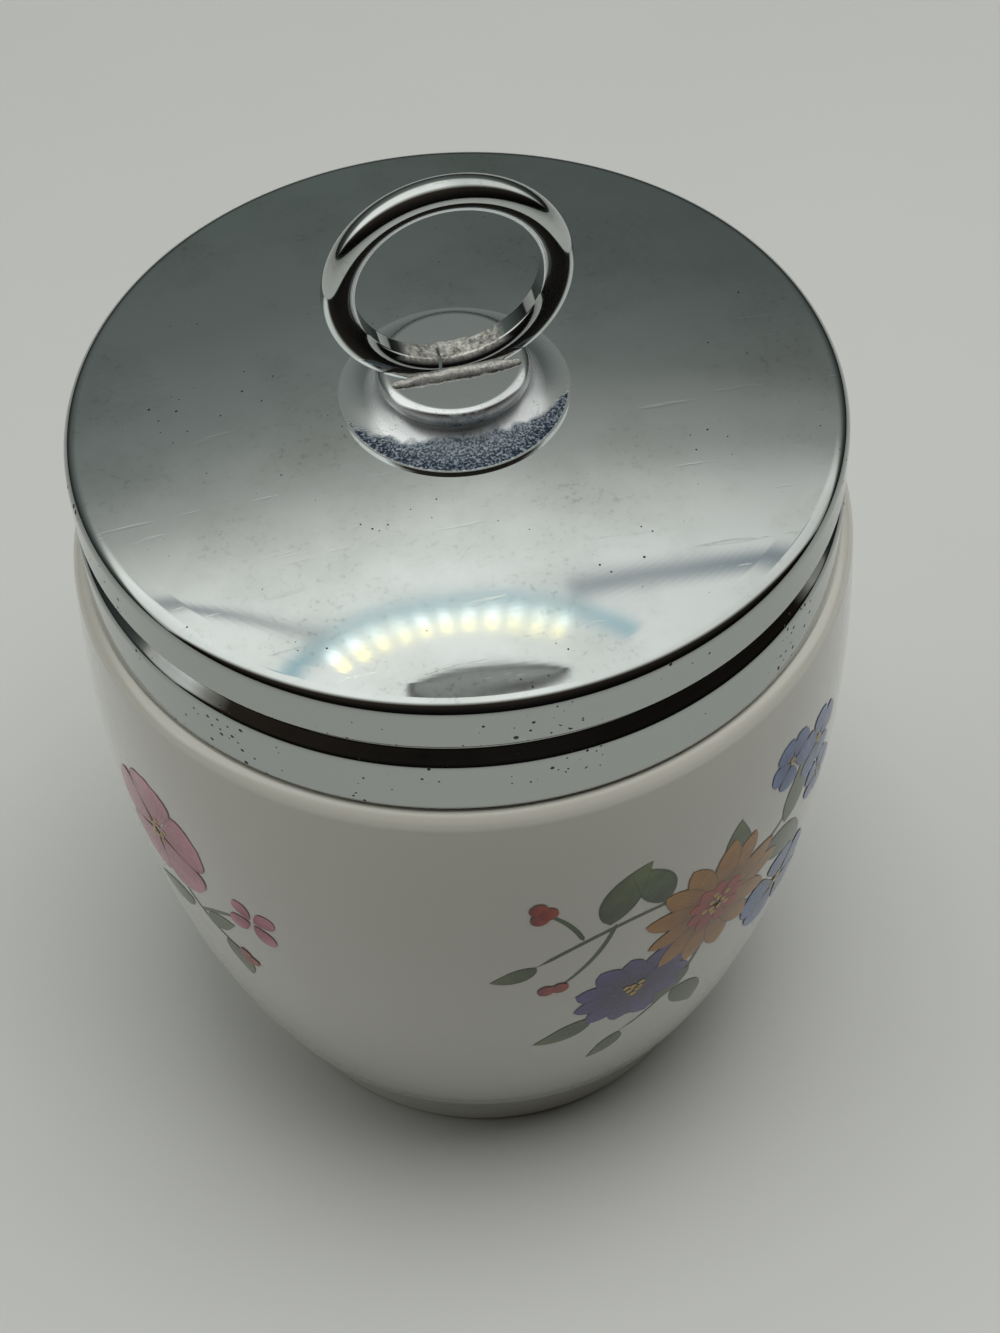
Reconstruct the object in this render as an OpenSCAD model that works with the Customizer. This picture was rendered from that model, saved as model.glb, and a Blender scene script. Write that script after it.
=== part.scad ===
// Porcelain egg coddler: a barrel-shaped cup with a moulded screw neck, and a
// plated metal screw lid with a lifting ring brazed to a turned boss.
// Millimetres. The cup stands on Z = 0 and its axis is Z.
// The lifting ring lies in the XZ plane.

/* [Cup] */
// Widest diameter of the body
body_d = 70.8; // [66:0.2:76]
// Height of the shoulder that the lid comes down to
body_h = 67.2; // [60:0.2:75]
// Height of the widest place of the body
widest_z = 57.4; // [50:0.2:62]
// Diameter of the body's lower edge, just above the foot
base_d = 51.4; // [48:0.2:54]
// Radius on the body's lower edge
base_edge_r = 2; // [1.2:0.1:2.4]
// Radius on the shoulder's outer edge
shoulder_edge_r = 1.4; // [0.8:0.1:2]
// Thickness of the body's wall
wall = 4.2; // [3.5:0.1:5]
// Thickness of the floor above the hollow of the foot
floor_t = 5; // [4:0.1:6.5]
// Radius between the floor and the wall, inside
floor_corner_r = 8; // [5:0.5:9]

/* [Foot] */
// Outer diameter of the foot where it stands
foot_d = 45; // [40:0.2:46]
// Height of the foot
foot_h = 7.8; // [6:0.1:9]
// How much the foot widens from the table to the body, on each side
foot_flare = 0.4; // [0.2:0.05:0.6]
// Width of the ring that the foot stands on
foot_ring_w = 3.6; // [2.6:0.1:5]
// Depth of the hollow under the foot
foot_hollow = 2.4; // [1.5:0.1:3.2]
// Radius on the edges of the foot
foot_edge_r = 0.7; // [0.3:0.1:1]

/* [Neck] */
// Diameter of the neck between the threads
neck_d = 60; // [57:0.2:61]
// Height of the neck above the shoulder
neck_h = 10.9; // [10:0.1:13]
// Diameter of the mouth
mouth_d = 52; // [48:0.2:54]
// Radius on both edges of the rim
rim_edge_r = 1.2; // [0.6:0.1:1.4]

/* [Thread] */
// Rise of the thread in one turn
thread_pitch = 4; // [3.6:0.1:4.4]
// Height of the porcelain thread above the neck
thread_depth = 1.2; // [0.9:0.05:1.3]
// Width of the thread at its root
thread_root_w = 1.9; // [1.7:0.05:2]
// Width of the thread at its crest
thread_crest_w = 0.9; // [0.6:0.05:1.1]
// Turns of thread on the neck
cup_turns = 1.4; // [1.2:0.05:1.5]
// Turns of thread in the lid
lid_turns = 1.25; // [1:0.05:1.3]
// Height of the start of the porcelain thread above the shoulder
thread_start = 3; // [2.8:0.1:3.4]
// Radial room between the thread of the cup and that of the lid
thread_room = 0.3; // [0.2:0.05:0.4]
// Room along the axis between the two threads when the lid is tight
thread_slack = 0.15; // [0.1:0.05:0.2]

/* [Lid] */
// Thickness of the pressed cap
lid_sheet = 0.6; // [0.4:0.05:0.7]
// Rise of the domed top from its edge to its centre
dome_rise = 2; // [1.6:0.1:3.6]
// Outer radius between the domed top and the skirt
lid_edge_r = 1.3; // [1.1:0.1:1.6]
// Height of the plain band above the groove
upper_band_h = 3.5; // [3:0.1:4]
// Depth of the groove rolled round the skirt
groove_depth = 1.35; // [1.1:0.05:1.5]
// Radius on the upper edge of the groove, outside
groove_upper_r = 0.7; // [0.65:0.05:0.8]
// Radius on the lower edge of the groove, outside
groove_lower_r = 1; // [0.7:0.05:1.2]
// Radius in the bottom of the groove
groove_root_r = 0.4; // [0.2:0.05:0.5]
// Height of the groove between its two edges
groove_h = 2.8; // [2.6:0.1:3.2]
// Outer radius of the turned-in hem
hem_r = 0.65; // [0.65:0.05:1]
// Width of the hem
hem_w = 1.8; // [1.5:0.1:2]
// Room between the hem and the shoulder of the cup
skirt_gap = 0.2; // [0.2:0.05:0.6]

/* [Lid lining] */
// Thickness of the flat lining plate
liner_sheet = 0.4; // [0.3:0.05:0.5]
// Diameter of the raised middle of the lining plate
liner_middle_d = 38; // [32:0.5:42]
// Rise of the middle of the lining plate
liner_step = 0.3; // [0.2:0.05:0.4]
// Thickness of the threaded sleeve
sleeve_sheet = 0.5; // [0.4:0.05:0.6]
// Thickness of the sealing ring
seal_t = 1.3; // [1:0.1:1.8]
// Width of the sealing ring
seal_w = 4.4; // [3.8:0.1:5]
// Room between pieces that are pressed or rolled together
fit = 0.05; // [0.03:0.01:0.08]

/* [Boss] */
// Diameter of the flat-topped head of the boss
boss_top_d = 13.4; // [12.8:0.2:15]
// Thickness of the head of the boss
boss_head_h = 1.3; // [1.2:0.1:1.6]
// Radius on the upper edge of the head
boss_edge_r = 0.9; // [0.5:0.05:1]
// Diameter of the waist of the boss
boss_waist_d = 12.2; // [11.6:0.2:12.6]
// Diameter of the spreading foot of the boss
boss_base_d = 20; // [16:0.2:24]
// Height of the boss above the middle of the lid
boss_h = 3.4; // [2.6:0.1:5]
// Thickness of the edge of the boss's foot
boss_lip = 0.3; // [0.25:0.05:0.5]
// Diameter of the spigot that holds the boss to the lid
spigot_d = 4; // [3:0.1:5]
// Diameter of the closed head of the spigot
rivet_head_d = 6.8; // [6:0.1:8]
// Height of the closed head of the spigot
rivet_head_h = 0.9; // [0.8:0.1:1.3]
// Diameter of the backing washer
washer_d = 10; // [9:0.2:13]
// Thickness of the backing washer
washer_t = 0.6; // [0.5:0.05:1]

/* [Lifting ring] */
// Outer diameter of the ring
ring_d = 21.5; // [18:0.1:26]
// Diameter of the wire
wire_d = 3; // [2.4:0.1:3.4]
// Depth of the flat on the inside of the wire
wire_flat = 0.25; // [0.1:0.05:0.35]
// Depth that the ring is let into the boss
ring_seat = 1.4; // [1:0.05:1.6]
// Width of the open joint where the wire ends meet
wire_joint = 0.25; // [0.15:0.05:0.4]
// How far round the ring its joint is from the lowest place, in degrees
joint_turn = 9; // [4:1:14]
// Width of the braze on each side of the wire
braze_w = 0.55; // [0.4:0.05:0.7]
// Height of the braze above the boss
braze_h = 0.7; // [0.5:0.05:0.8]

/* [Hidden] */

$fn = 96;
arc_steps = 8;      // steps in a small rounded corner
curve_steps = 26;   // steps along a long curve
thread_steps = 60;  // steps of thread in one turn
thread_fade = 24;   // degrees over which each end of a thread runs out
thread_sink = 0.25; // depth that a thread is rooted in its wall
overcut = 1;        // length that a cutter passes its work

// Cup
body_r = body_d / 2;
foot_r = foot_d / 2;
neck_r = neck_d / 2;
mouth_r = mouth_d / 2;
rim_z = body_h + neck_h;
floor_z = foot_hollow + floor_t;
// Half the height of the ellipse that the body's outline follows
body_span = (widest_z - foot_h) / sqrt(1 - pow(base_d / body_d, 2));
// Height, inside, where the wall turns in to the mouth
neck_turn_in = (body_r - wall - mouth_r) / 2;
inner_shoulder_z = body_h - wall - neck_turn_in;

// Thread
thread_crest_r = neck_r + thread_depth;
thread_mean_w = (thread_root_w + thread_crest_w) / 2;
thread_drop = thread_mean_w + thread_slack;
cup_thread_z = body_h + thread_start;

// Lid, from the rim of the cup upwards and from the neck outwards
sleeve_in_r = thread_crest_r + thread_room;
sleeve_out_r = sleeve_in_r + sleeve_sheet;
groove_floor_r = sleeve_out_r + fit + lid_sheet;
skirt_r = groove_floor_r + groove_depth;
hem_z = body_h + skirt_gap;
liner_z = rim_z + seal_t;
liner_top = liner_z + liner_sheet;
liner_r = skirt_r - lid_sheet - 3 * fit;
// Height where the skirt starts to turn in to the dome, set by the plate below
edge_z = liner_top + fit
    - sqrt(pow(lid_edge_r - lid_sheet, 2) - pow(liner_r - (skirt_r - lid_edge_r), 2));
dome_r = (pow(skirt_r, 2) + pow(dome_rise, 2)) / (2 * dome_rise);
dome_slope = asin(skirt_r / dome_r);
dome_edge_z = edge_z + lid_edge_r * tan(45 - dome_slope / 2);
dome_top = dome_edge_z + dome_rise;
groove_top_z = edge_z - upper_band_h;

// Boss and ring
boss_top_z = dome_top + boss_h;
boss_top_r = boss_top_d / 2;
boss_waist_r = boss_waist_d / 2;
boss_base_r = boss_base_d / 2;
spigot_r = spigot_d / 2;
washer_z = dome_z(washer_d / 2) - lid_sheet - fit - washer_t;
rivet_z = washer_z - fit - rivet_head_h;
ring_r = ring_d / 2;
wire_r = wire_d / 2;
ring_mid_r = ring_r - wire_r;
ring_hole_r = ring_mid_r - wire_r + wire_flat;
ring_z = boss_top_z - ring_seat + ring_r;

// Outline of the body: an ellipse about the widest place
function body_r_at(z) = body_r * sqrt(1 - pow((z - widest_z) / body_span, 2));

// Height of the lid's outer face at a distance r from the axis
function dome_z(r) = dome_top - dome_r + sqrt(pow(dome_r, 2) - pow(r, 2));

// Points along a stretch of the body's outline, moved in by some thickness
function body_curve(from, to, inset) = [
    for (i = [0 : curve_steps])
        let (z = from + (to - from) * i / curve_steps)
            [body_r_at(z) - inset, z, 0]
];

// Points along the dome, from the axis side outwards
function dome_curve(from, to, drop) = [
    for (i = [0 : curve_steps])
        let (r = from + (to - from) * i / curve_steps)
            [r, dome_z(r) - drop, 0]
];

function unit(v) = v / norm(v);
function flat(p) = [p[0], p[1]];
function left_of(v) = [-v[1], v[0]];

// One corner [r, z, radius] of an outline, rounded between its neighbours
function corner(before, at, after) =
    at[2] <= 0 ? [flat(at)] :
    let (
        u = unit(flat(before) - flat(at)),
        v = unit(flat(after) - flat(at)),
        half = acos(u * v) / 2,
        centre = flat(at) + unit(u + v) * at[2] / sin(half),
        start = flat(at) + u * at[2] / tan(half) - centre,
        end = flat(at) + v * at[2] / tan(half) - centre,
        first = atan2(start[1], start[0]),
        turn = atan2(end[1], end[0]) - first,
        sweep = turn > 180 ? turn - 360 : turn < -180 ? turn + 360 : turn
    ) [
        for (i = [0 : arc_steps])
            let (a = first + sweep * i / arc_steps)
                centre + at[2] * [cos(a), sin(a)]
    ];

// An outline with its corners rounded. Its first and last points stay sharp.
function rounded(path) = [
    for (i = [0 : len(path) - 1])
        each (i == 0 || i == len(path) - 1
            ? [flat(path[i])]
            : corner(path[i - 1], path[i], path[i + 1]))
];

// The other face of a sheet of thickness t, on the left of a path
function beside(path, t) = [
    for (i = [0 : len(path) - 1])
        let (
            here = flat(path[i]),
            in_dir = i > 0 ? unit(here - flat(path[i - 1])) : [0, 0],
            out_dir = i < len(path) - 1 ? unit(flat(path[i + 1]) - here) : [0, 0],
            a = left_of(i > 0 ? in_dir : out_dir),
            b = left_of(i < len(path) - 1 ? out_dir : in_dir),
            left_turn = a[0] * b[1] - a[1] * b[0] > 0,
            moved = here + t * (a + b) / (1 + a * b)
        )
            [moved[0], moved[1], path[i][2] <= 0 ? 0 : path[i][2] + (left_turn ? -t : t)]
];

function reversed(list) = [for (i = [len(list) - 1 : -1 : 0]) list[i]];

// A pressed sheet, turned about the axis
module pressed(path, t) {
    rotate_extrude()
        polygon(concat(rounded(path), reversed(rounded(beside(path, t)))));
}

// A solid turned from an outline
module turned(path) {
    rotate_extrude()
        polygon(rounded(path));
}

// A ridge that winds round the axis and runs out into its wall at both ends.
// root is the wall's radius and out is 1 for an outside thread, -1 for an inside one.
module thread_ridge(root, depth, out, z, turns, start, swell = 0) {
    steps = ceil(turns * thread_steps);
    sides = 6;
    rings = [
        for (i = [0 : steps])
            let (
                turn = turns * 360 * i / steps,
                ends = min(turn, turns * 360 - turn) / thread_fade,
                height = thread_sink / 2 + (depth + thread_sink / 2) * min(1, ends),
                a = start + turn,
                mid = z + thread_pitch * (start + turn) / 360,
                foot = root - out * thread_sink,
                half_root = thread_root_w / 2 + swell,
                half_crest = thread_crest_w / 2 + swell
            )
                for (p = [
                    [0, -half_root], [0.7, -(half_root + 2 * half_crest) / 3],
                    [1, -half_crest * 0.7], [1, half_crest * 0.7],
                    [0.7, (half_root + 2 * half_crest) / 3], [0, half_root]
                ])
                    let (r = foot + out * height * p[0])
                        [r * cos(a), r * sin(a), mid + p[1]]
    ];
    side_faces = [
        for (i = [0 : steps - 1], j = [0 : sides - 1])
            let (
                a = i * sides + j,
                b = i * sides + (j + 1) % sides
            )
                each [[a, b, b + sides], [a, b + sides, a + sides]]
    ];
    caps = [
        for (j = [1 : sides - 2])
            each [
                [0, j + 1, j],
                [steps * sides, steps * sides + j, steps * sides + j + 1]
            ]
    ];
    faces = concat(side_faces, caps);
    polyhedron(rings, out > 0 ? faces : [for (f = faces) [f[2], f[1], f[0]]]);
}

// The cup: foot, bellied body, shoulder and screw neck in one piece of porcelain
module porcelain_cup() {
    outside = concat(
        [
            [0, foot_hollow, 0],
            [foot_r - foot_ring_w - foot_flare, foot_hollow, foot_edge_r],
            [foot_r - foot_ring_w, 0, foot_edge_r],
            [foot_r, 0, foot_edge_r],
            [foot_r + foot_flare, foot_h, foot_edge_r],
            [base_d / 2, foot_h, base_edge_r]
        ],
        body_curve(foot_h + 2 * base_edge_r, body_h - 2 * shoulder_edge_r, 0),
        [
            [body_r_at(body_h), body_h, shoulder_edge_r],
            [neck_r, body_h, thread_sink],
            [neck_r, rim_z, rim_edge_r],
            [mouth_r, rim_z, rim_edge_r]
        ]
    );
    inside = concat(
        [
            [mouth_r, body_h - wall, wall / 2],
            [body_r_at(inner_shoulder_z) - wall, inner_shoulder_z, wall / 2]
        ],
        body_curve(inner_shoulder_z - wall, floor_z + floor_corner_r, wall),
        [
            [body_r_at(floor_z) - wall, floor_z, floor_corner_r],
            [0, floor_z, 0]
        ]
    );
    color("ghostwhite") {
        turned(concat(outside, inside));
        thread_ridge(neck_r, thread_depth, 1, cup_thread_z, cup_turns, 0);
    }
}

// The soft ring between the rim of the cup and the lining plate
module sealing_ring() {
    out_r = sleeve_in_r - thread_room;
    in_r = out_r - seal_w;
    edge = seal_t / 4;
    color("antiquewhite")
        turned([
            [in_r + seal_w / 2, rim_z, 0],
            [out_r, rim_z, edge], [out_r, liner_z, edge],
            [in_r, liner_z, edge], [in_r, rim_z, edge],
            [in_r + seal_w / 2, rim_z, 0]
        ]);
}

// The outer cap: domed top, skirt with a rolled groove, and turned-in hem
module lid_cap() {
    path = concat(
        [
            [skirt_r - hem_w, hem_z, 0],
            [skirt_r, hem_z, hem_r],
            [skirt_r, groove_top_z - groove_h, groove_lower_r],
            [groove_floor_r, groove_top_z - groove_h / 2, groove_root_r],
            [skirt_r, groove_top_z, groove_upper_r],
            [skirt_r, dome_edge_z, lid_edge_r]
        ],
        reversed(dome_curve(spigot_r + fit, skirt_r - 2 * lid_edge_r, 0))
    );
    color("silver")
        pressed(path, lid_sheet);
}

// The flat plate that closes the lid over the food, stiffened by a raised middle
module lining_plate() {
    middle_r = liner_middle_d / 2;
    path = [
        [liner_r, liner_top, 0],
        [middle_r + liner_step, liner_top, liner_sheet],
        [middle_r, liner_top + liner_step, liner_sheet + fit],
        [0, liner_top + liner_step, 0]
    ];
    color("gainsboro")
        pressed(path, liner_sheet);
}

// The sleeve inside the skirt, with a flange at each end and the lid's thread
module threaded_sleeve() {
    flange_r = liner_r;
    low = hem_z + lid_sheet + fit;
    high = liner_z - fit;
    bend = sleeve_sheet;
    thread_z = cup_thread_z - thread_drop;
    start = 360 * (low + sleeve_sheet + thread_root_w / 2 + fit - thread_z) / thread_pitch;
    color("lightgray") {
        pressed([
            [flange_r, low, 0],
            [sleeve_in_r, low, bend + sleeve_sheet],
            [sleeve_in_r, high, bend + sleeve_sheet],
            [flange_r, high, 0]
        ], -sleeve_sheet);
        thread_ridge(sleeve_in_r, thread_depth, -1, thread_z, lid_turns, start);
    }
}

// The wire ring, with a flat on its inside and a joint near its lowest place
module ring_body(swell = 0) {
    translate([0, 0, ring_z])
        rotate([90, 0, 0])
            rotate_extrude()
                difference() {
                    translate([ring_mid_r, 0])
                        circle(r = wire_r + swell);
                    translate([0, -ring_r])
                        square([ring_hole_r - swell, ring_d]);
                }
}

module lifting_ring() {
    color("silver")
        difference() {
            ring_body();
            translate([0, 0, ring_z])
                rotate([0, joint_turn, 0])
                    translate([-wire_joint / 2, -wire_r - overcut, -ring_hole_r - wire_r / 2])
                        cube([wire_joint, wire_d + 2 * overcut, wire_r]);
        }
}

// The boss: a flat-topped head cut to seat the ring, a hollow-sided foot that
// spreads on the lid, and a spigot closed over the backing washer
module boss() {
    head_z = boss_top_z - boss_head_h;
    base_z = dome_z(boss_base_r);
    spread = boss_base_r - boss_waist_r;
    drop = head_z - base_z - boss_lip;
    hollow_side = [
        for (i = [0 : curve_steps])
            let (a = 90 * i / curve_steps)
                [boss_base_r - spread * cos(a), head_z - drop * sin(a), 0]
    ];
    outline = concat(
        [
            [0, boss_top_z, 0],
            [boss_top_r, boss_top_z, boss_edge_r],
            [boss_top_r, head_z, (boss_top_r - boss_waist_r) / 2]
        ],
        hollow_side,
        [[boss_base_r, base_z, 0]],
        reversed(dome_curve(spigot_r, boss_base_r - fit, 0)),
        [
            [spigot_r, washer_z - fit, 0],
            [rivet_head_d / 2, washer_z - fit, 0],
            [rivet_head_d / 2, rivet_z, rivet_head_h / 2],
            [0, rivet_z, 0]
        ]
    );
    color("silver")
        difference() {
            turned(outline);
            ring_body(fit);
        }
}

// The washer that spreads the pull of the ring under the lid
module backing_washer() {
    color("darkgray")
        translate([0, 0, washer_z])
            difference() {
                cylinder(d = washer_d, h = washer_t);
                translate([0, 0, -overcut])
                    cylinder(r = spigot_r + fit, h = washer_t + 2 * overcut);
            }
}

// The braze that runs along both sides of the ring and fills the ends of its seat
module braze_seam() {
    half = wire_r + braze_w;
    length = 2 * sqrt(pow(boss_top_r - boss_edge_r, 2) - pow(half, 2));
    color("darkgray")
        difference() {
            translate([-length / 2, 0, boss_top_z + fit / 2])
                rotate([90, 0, 90])
                    linear_extrude(length)
                        polygon([
                            [-half, 0], [half, 0],
                            [wire_r, braze_h], [-wire_r, braze_h]
                        ]);
            ring_body(fit / 2);
        }
}

porcelain_cup();
sealing_ring();
lid_cap();
lining_plate();
threaded_sleeve();
boss();
backing_washer();
lifting_ring();
braze_seam();
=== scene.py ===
# %% [markdown]
# # Dressing a porcelain egg coddler
# A coddler is a small porcelain jar with a screw lid. An egg is broken into it, the lid goes on, and it
# stands in hot water until the egg is set. The solids come from CAD at their real size. This lesson gives
# them their looks: a glazed cup with a printed spray of flowers, and a worn chrome-plated lid.
# Lengths are in millimetres here and are turned to metres where a mesh is made.

# %% Load the frame
import math
import random

import bmesh
import bpy
from mathutils import Matrix, Vector


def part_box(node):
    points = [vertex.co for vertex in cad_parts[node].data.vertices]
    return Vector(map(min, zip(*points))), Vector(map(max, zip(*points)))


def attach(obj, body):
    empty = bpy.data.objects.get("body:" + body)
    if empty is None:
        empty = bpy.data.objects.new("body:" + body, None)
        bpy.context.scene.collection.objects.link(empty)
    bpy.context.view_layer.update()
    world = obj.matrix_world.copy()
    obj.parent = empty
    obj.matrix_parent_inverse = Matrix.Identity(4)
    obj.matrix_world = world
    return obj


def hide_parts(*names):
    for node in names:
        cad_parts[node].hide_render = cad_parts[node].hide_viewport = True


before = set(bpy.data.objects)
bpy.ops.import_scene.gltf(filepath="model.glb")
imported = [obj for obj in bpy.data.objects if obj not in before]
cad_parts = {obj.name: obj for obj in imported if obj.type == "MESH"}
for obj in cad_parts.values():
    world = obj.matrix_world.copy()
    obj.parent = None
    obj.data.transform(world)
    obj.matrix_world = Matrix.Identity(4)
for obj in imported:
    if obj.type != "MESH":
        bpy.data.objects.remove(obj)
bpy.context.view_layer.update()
MM = 0.001

# %% [markdown]
# ## Sizes
# The frame knows where each solid is, so the driving sizes are read from it. What a box can't tell, such
# as the radius of an edge, is a named value with its real size.

# %% Read the driving sizes
def box_mm(node):
    """Lowest and highest corner of a CAD node, in millimetres."""
    return [[v / MM for v in corner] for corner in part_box(node)]


BODY_R, RIM_Z = box_mm("porcelain_cup")[1][::2]
LID_R, DOME_TOP = box_mm("lid_cap")[1][::2]
HEM_Z = box_mm("lid_cap")[0][2]
BOSS_BASE_R, BOSS_TOP = box_mm("boss")[1][::2]
WASHER_Z = box_mm("backing_washer")[0][2]
ring_low, ring_high = box_mm("lifting_ring")
RING_R, RING_Z = (ring_high[2] - ring_low[2]) / 2, (ring_high[2] + ring_low[2]) / 2
WIRE_R = ring_high[1]
seal_low, seal_high = box_mm("sealing_ring")
PLATE_Z = box_mm("lining_plate")[0][2]
sleeve_low, sleeve_high = box_mm("threaded_sleeve")
print("body radius", round(BODY_R, 2), "lid radius", round(LID_R, 2), "ring radius", round(RING_R, 2))

# %% [markdown]
# ## Turned shapes
# A thrown cup, a spun lid and a turned boss are all solids of revolution, so they share one tool: an
# outline of corners, each with a radius, is rounded and then swept about the axis. Long straight runs get
# extra points near their ends, so that smooth shading bends only at the corners and chrome stays true.

# %% Outlines
ARC_STEPS = 10
GUARD = 0.12      # distance from a corner to its extra point
LONGEST = 1.6     # longest step along an outline


def rounded(path):
    """Outline points from corners (r, z, radius). The first and last corner stay sharp."""
    points = []
    for i, (r, z, radius) in enumerate(path):
        at = Vector((r, z))
        if radius <= 0 or i in (0, len(path) - 1):
            points.append(at)
            continue
        before = (Vector(path[i - 1][:2]) - at).normalized()
        after = (Vector(path[i + 1][:2]) - at).normalized()
        half = before.angle(after) / 2
        centre = at + (before + after).normalized() * radius / math.sin(half)
        start = at + before * radius / math.tan(half) - centre
        end = at + after * radius / math.tan(half) - centre
        turn = math.atan2(start.x * end.y - start.y * end.x, start.dot(end))
        for step in range(ARC_STEPS + 1):
            points.append(centre + Matrix.Rotation(turn * step / ARC_STEPS, 2) @ start)
    return points


def eased(points):
    """The same outline with guard points near the ends of each long run, and no long step."""
    result = [points[0]]
    for here, there in zip(points, points[1:]):
        run = there - here
        if run.length > 4 * GUARD:
            inner = run - run.normalized() * 2 * GUARD
            start = here + run.normalized() * GUARD
            steps = max(1, math.ceil(inner.length / LONGEST))
            result += [start + inner * step / steps for step in range(steps + 1)]
        result.append(there)
    return result


def outline(corners):
    return eased(rounded(corners))


print("a rounded corner has", ARC_STEPS + 1, "points")

# %% Turning
TURN_STEPS = 240
SHARP_ANGLE = math.radians(38)


def placed(name, data):
    """A new object in the scene, at the origin."""
    obj = bpy.data.objects.new(name, data)
    bpy.context.scene.collection.objects.link(obj)
    return obj


def new_object(name, mesh):
    """A placed object with smooth faces that break at sharp angles."""
    obj = placed(name, mesh)
    mesh.polygons.foreach_set("use_smooth", [True] * len(mesh.polygons))
    mesh.set_sharp_from_angle(angle=SHARP_ANGLE)
    print(name, "has", len(mesh.polygons), "faces")
    return obj


def mesh_of(bm, name="piece", outwards=True):
    """The mesh of a bmesh, which is used up, with its faces turned outwards."""
    if outwards:
        bmesh.ops.recalc_face_normals(bm, faces=bm.faces)
    mesh = bpy.data.meshes.new(name)
    bm.to_mesh(mesh)
    bm.free()
    return mesh


def turned(name, points, loop=False):
    """A closed solid turned about Z from an outline, in mm, that ends on the axis or is a loop."""
    bm = bmesh.new()
    angles = [math.tau * step / TURN_STEPS for step in range(TURN_STEPS)]
    rings = []
    for r, z in points:
        if r < GUARD / 100:
            rings.append([bm.verts.new((0, 0, z * MM))] * TURN_STEPS)
        else:
            rings.append([bm.verts.new((r * MM * math.cos(a), r * MM * math.sin(a), z * MM)) for a in angles])
    for low, high in list(zip(rings, rings[1:])) + ([(rings[-1], rings[0])] if loop else []):
        for step in range(TURN_STEPS):
            following = (step + 1) % TURN_STEPS
            corners = dict.fromkeys([low[step], low[following], high[following], high[step]])
            if len(corners) > 2:
                bm.faces.new(list(corners))
    return new_object(name, mesh_of(bm, name))


def fit_out(obj, material, body, slot, *replaced):
    """Give a finished piece its material and its body, and hide the CAD nodes that it stands for. The slot is
    not used.
    """
    if material:
        obj.data.materials.clear()
        obj.data.materials.append(material)
    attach(obj, body)
    if replaced:
        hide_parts(*replaced)


# %% [markdown]
# ## One way to add a node
# Materials and geometry trees are both node trees, so one small function serves both: it adds a node,
# fills its inputs with numbers or links, and gives back an output. A table has short names for the kinds
# that come often. Colours are written as the sRGB values that a colour picker shows, and one function
# turns them to linear light.

# %% Nodes, colours and scales
def fill(node, inputs):
    """Fill a node's inputs with links or plain values. A colour may be written as sRGB hex."""
    for key, value in inputs.items():
        socket = node.inputs[key]
        if isinstance(value, bpy.types.NodeSocket):
            node.id_data.links.new(value, socket)
        elif value is not None:
            socket.default_value = linear(value) if socket.type == "RGBA" else value


# Short names for kinds of node: the kind, its inputs as they are given, its output and its settings.
KINDS = {
    "noise": ("ShaderNodeTexNoise", ("Vector", "Scale", "Detail", "Roughness"), 0, {}),
    "bump": ("ShaderNodeBump", ("Height", "Distance", "Strength", "Normal"), 0, {}),
    "range": ("ShaderNodeMapRange", range(5), 0, {}),
    "split": ("ShaderNodeSeparateXYZ", (0,), 0, {}),
    "combine": ("ShaderNodeCombineXYZ", range(3), 0, {}),
    "blend": ("ShaderNodeMix", (0, 6, 7), 2, {"data_type": "RGBA"}),
    "between": ("ShaderNodeMix", (0, 4, 5), 1, {"data_type": "VECTOR"}),
    "vector": ("ShaderNodeVectorMath", (0, 1), 0, {}),
    "length": ("ShaderNodeVectorMath", (0,), 1, {"operation": "LENGTH"}),
    "scaled": ("ShaderNodeVectorMath", (0, "Scale"), 0, {"operation": "SCALE"}),
}
SIGNS = {"+": "ADD", "-": "SUBTRACT", "*": "MULTIPLY", "/": "DIVIDE"}


def add(tree, kind, *values, named=None, out=0, **settings):
    """Add a node and return its output, or the node itself when out is None. A kind that is a sign or in
    capitals is an operation of a Math node."""
    preset = kind, range(len(values)), 0, {}
    if kind in SIGNS or kind.isupper():
        preset = "ShaderNodeMath", range(3), 0, {"operation": SIGNS.get(kind, kind)}
    kind, keys, main, fixed = KINDS.get(kind, preset)
    node = tree.nodes.new(kind)
    for key, value in {**fixed, **settings}.items():
        setattr(node, key, value)
    fill(node, {**dict(zip(keys, values)), **(named or {})})
    return node if out is None else node.outputs[out or main]


def linear(hex_colour):
    """A colour such as "C8CCCA" in linear light, with alpha."""
    channels = [int(hex_colour[i:i + 2], 16) / 255 for i in (0, 2, 4)]
    return [c / 12.92 if c <= 0.04045 else ((c + 0.055) / 1.055) ** 2.4 for c in channels] + [1.0]


def grain(size):
    """The texture scale, on coordinates in metres, whose features are about size mm wide."""
    return 1000 / size


def new_material(name):
    """A material with a Principled shader and a Texture Coordinate node that reads Object."""
    material = bpy.data.materials.new(name)
    material.use_nodes = True
    tree = material.node_tree
    tree.nodes.clear()
    shader = add(tree, "ShaderNodeBsdfPrincipled", out=None)
    add(tree, "ShaderNodeOutputMaterial", shader.outputs[0], out=None)
    place = add(tree, "ShaderNodeTexCoord", out=3)
    return material, tree, shader, place


print("white paper is", [round(c, 3) for c in linear("F2F2F0")[:3]])

# %% [markdown]
# ## Glazed porcelain
# Porcelain is fired white clay under a clear glaze. The glaze is poured, so it is glassy and very slightly
# rippled, it is a little greener where it pools, and it is wiped off the ring that the cup stands on. A
# pale body with a clear coat gives the depth of glaze over clay. The ripple is a fine bump on the coat.

# %% Make the porcelain
GLAZE_RIPPLE = 5.0       # mm from ripple to ripple
GLAZE_CLOUD = 28.0       # mm from one faint change of tone to the next
GLAZE_POOL_Z = 7.4       # height, mm, below which the glaze pools
BISCUIT_Z = 0.35         # height, mm, below which the foot is bare clay


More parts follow.
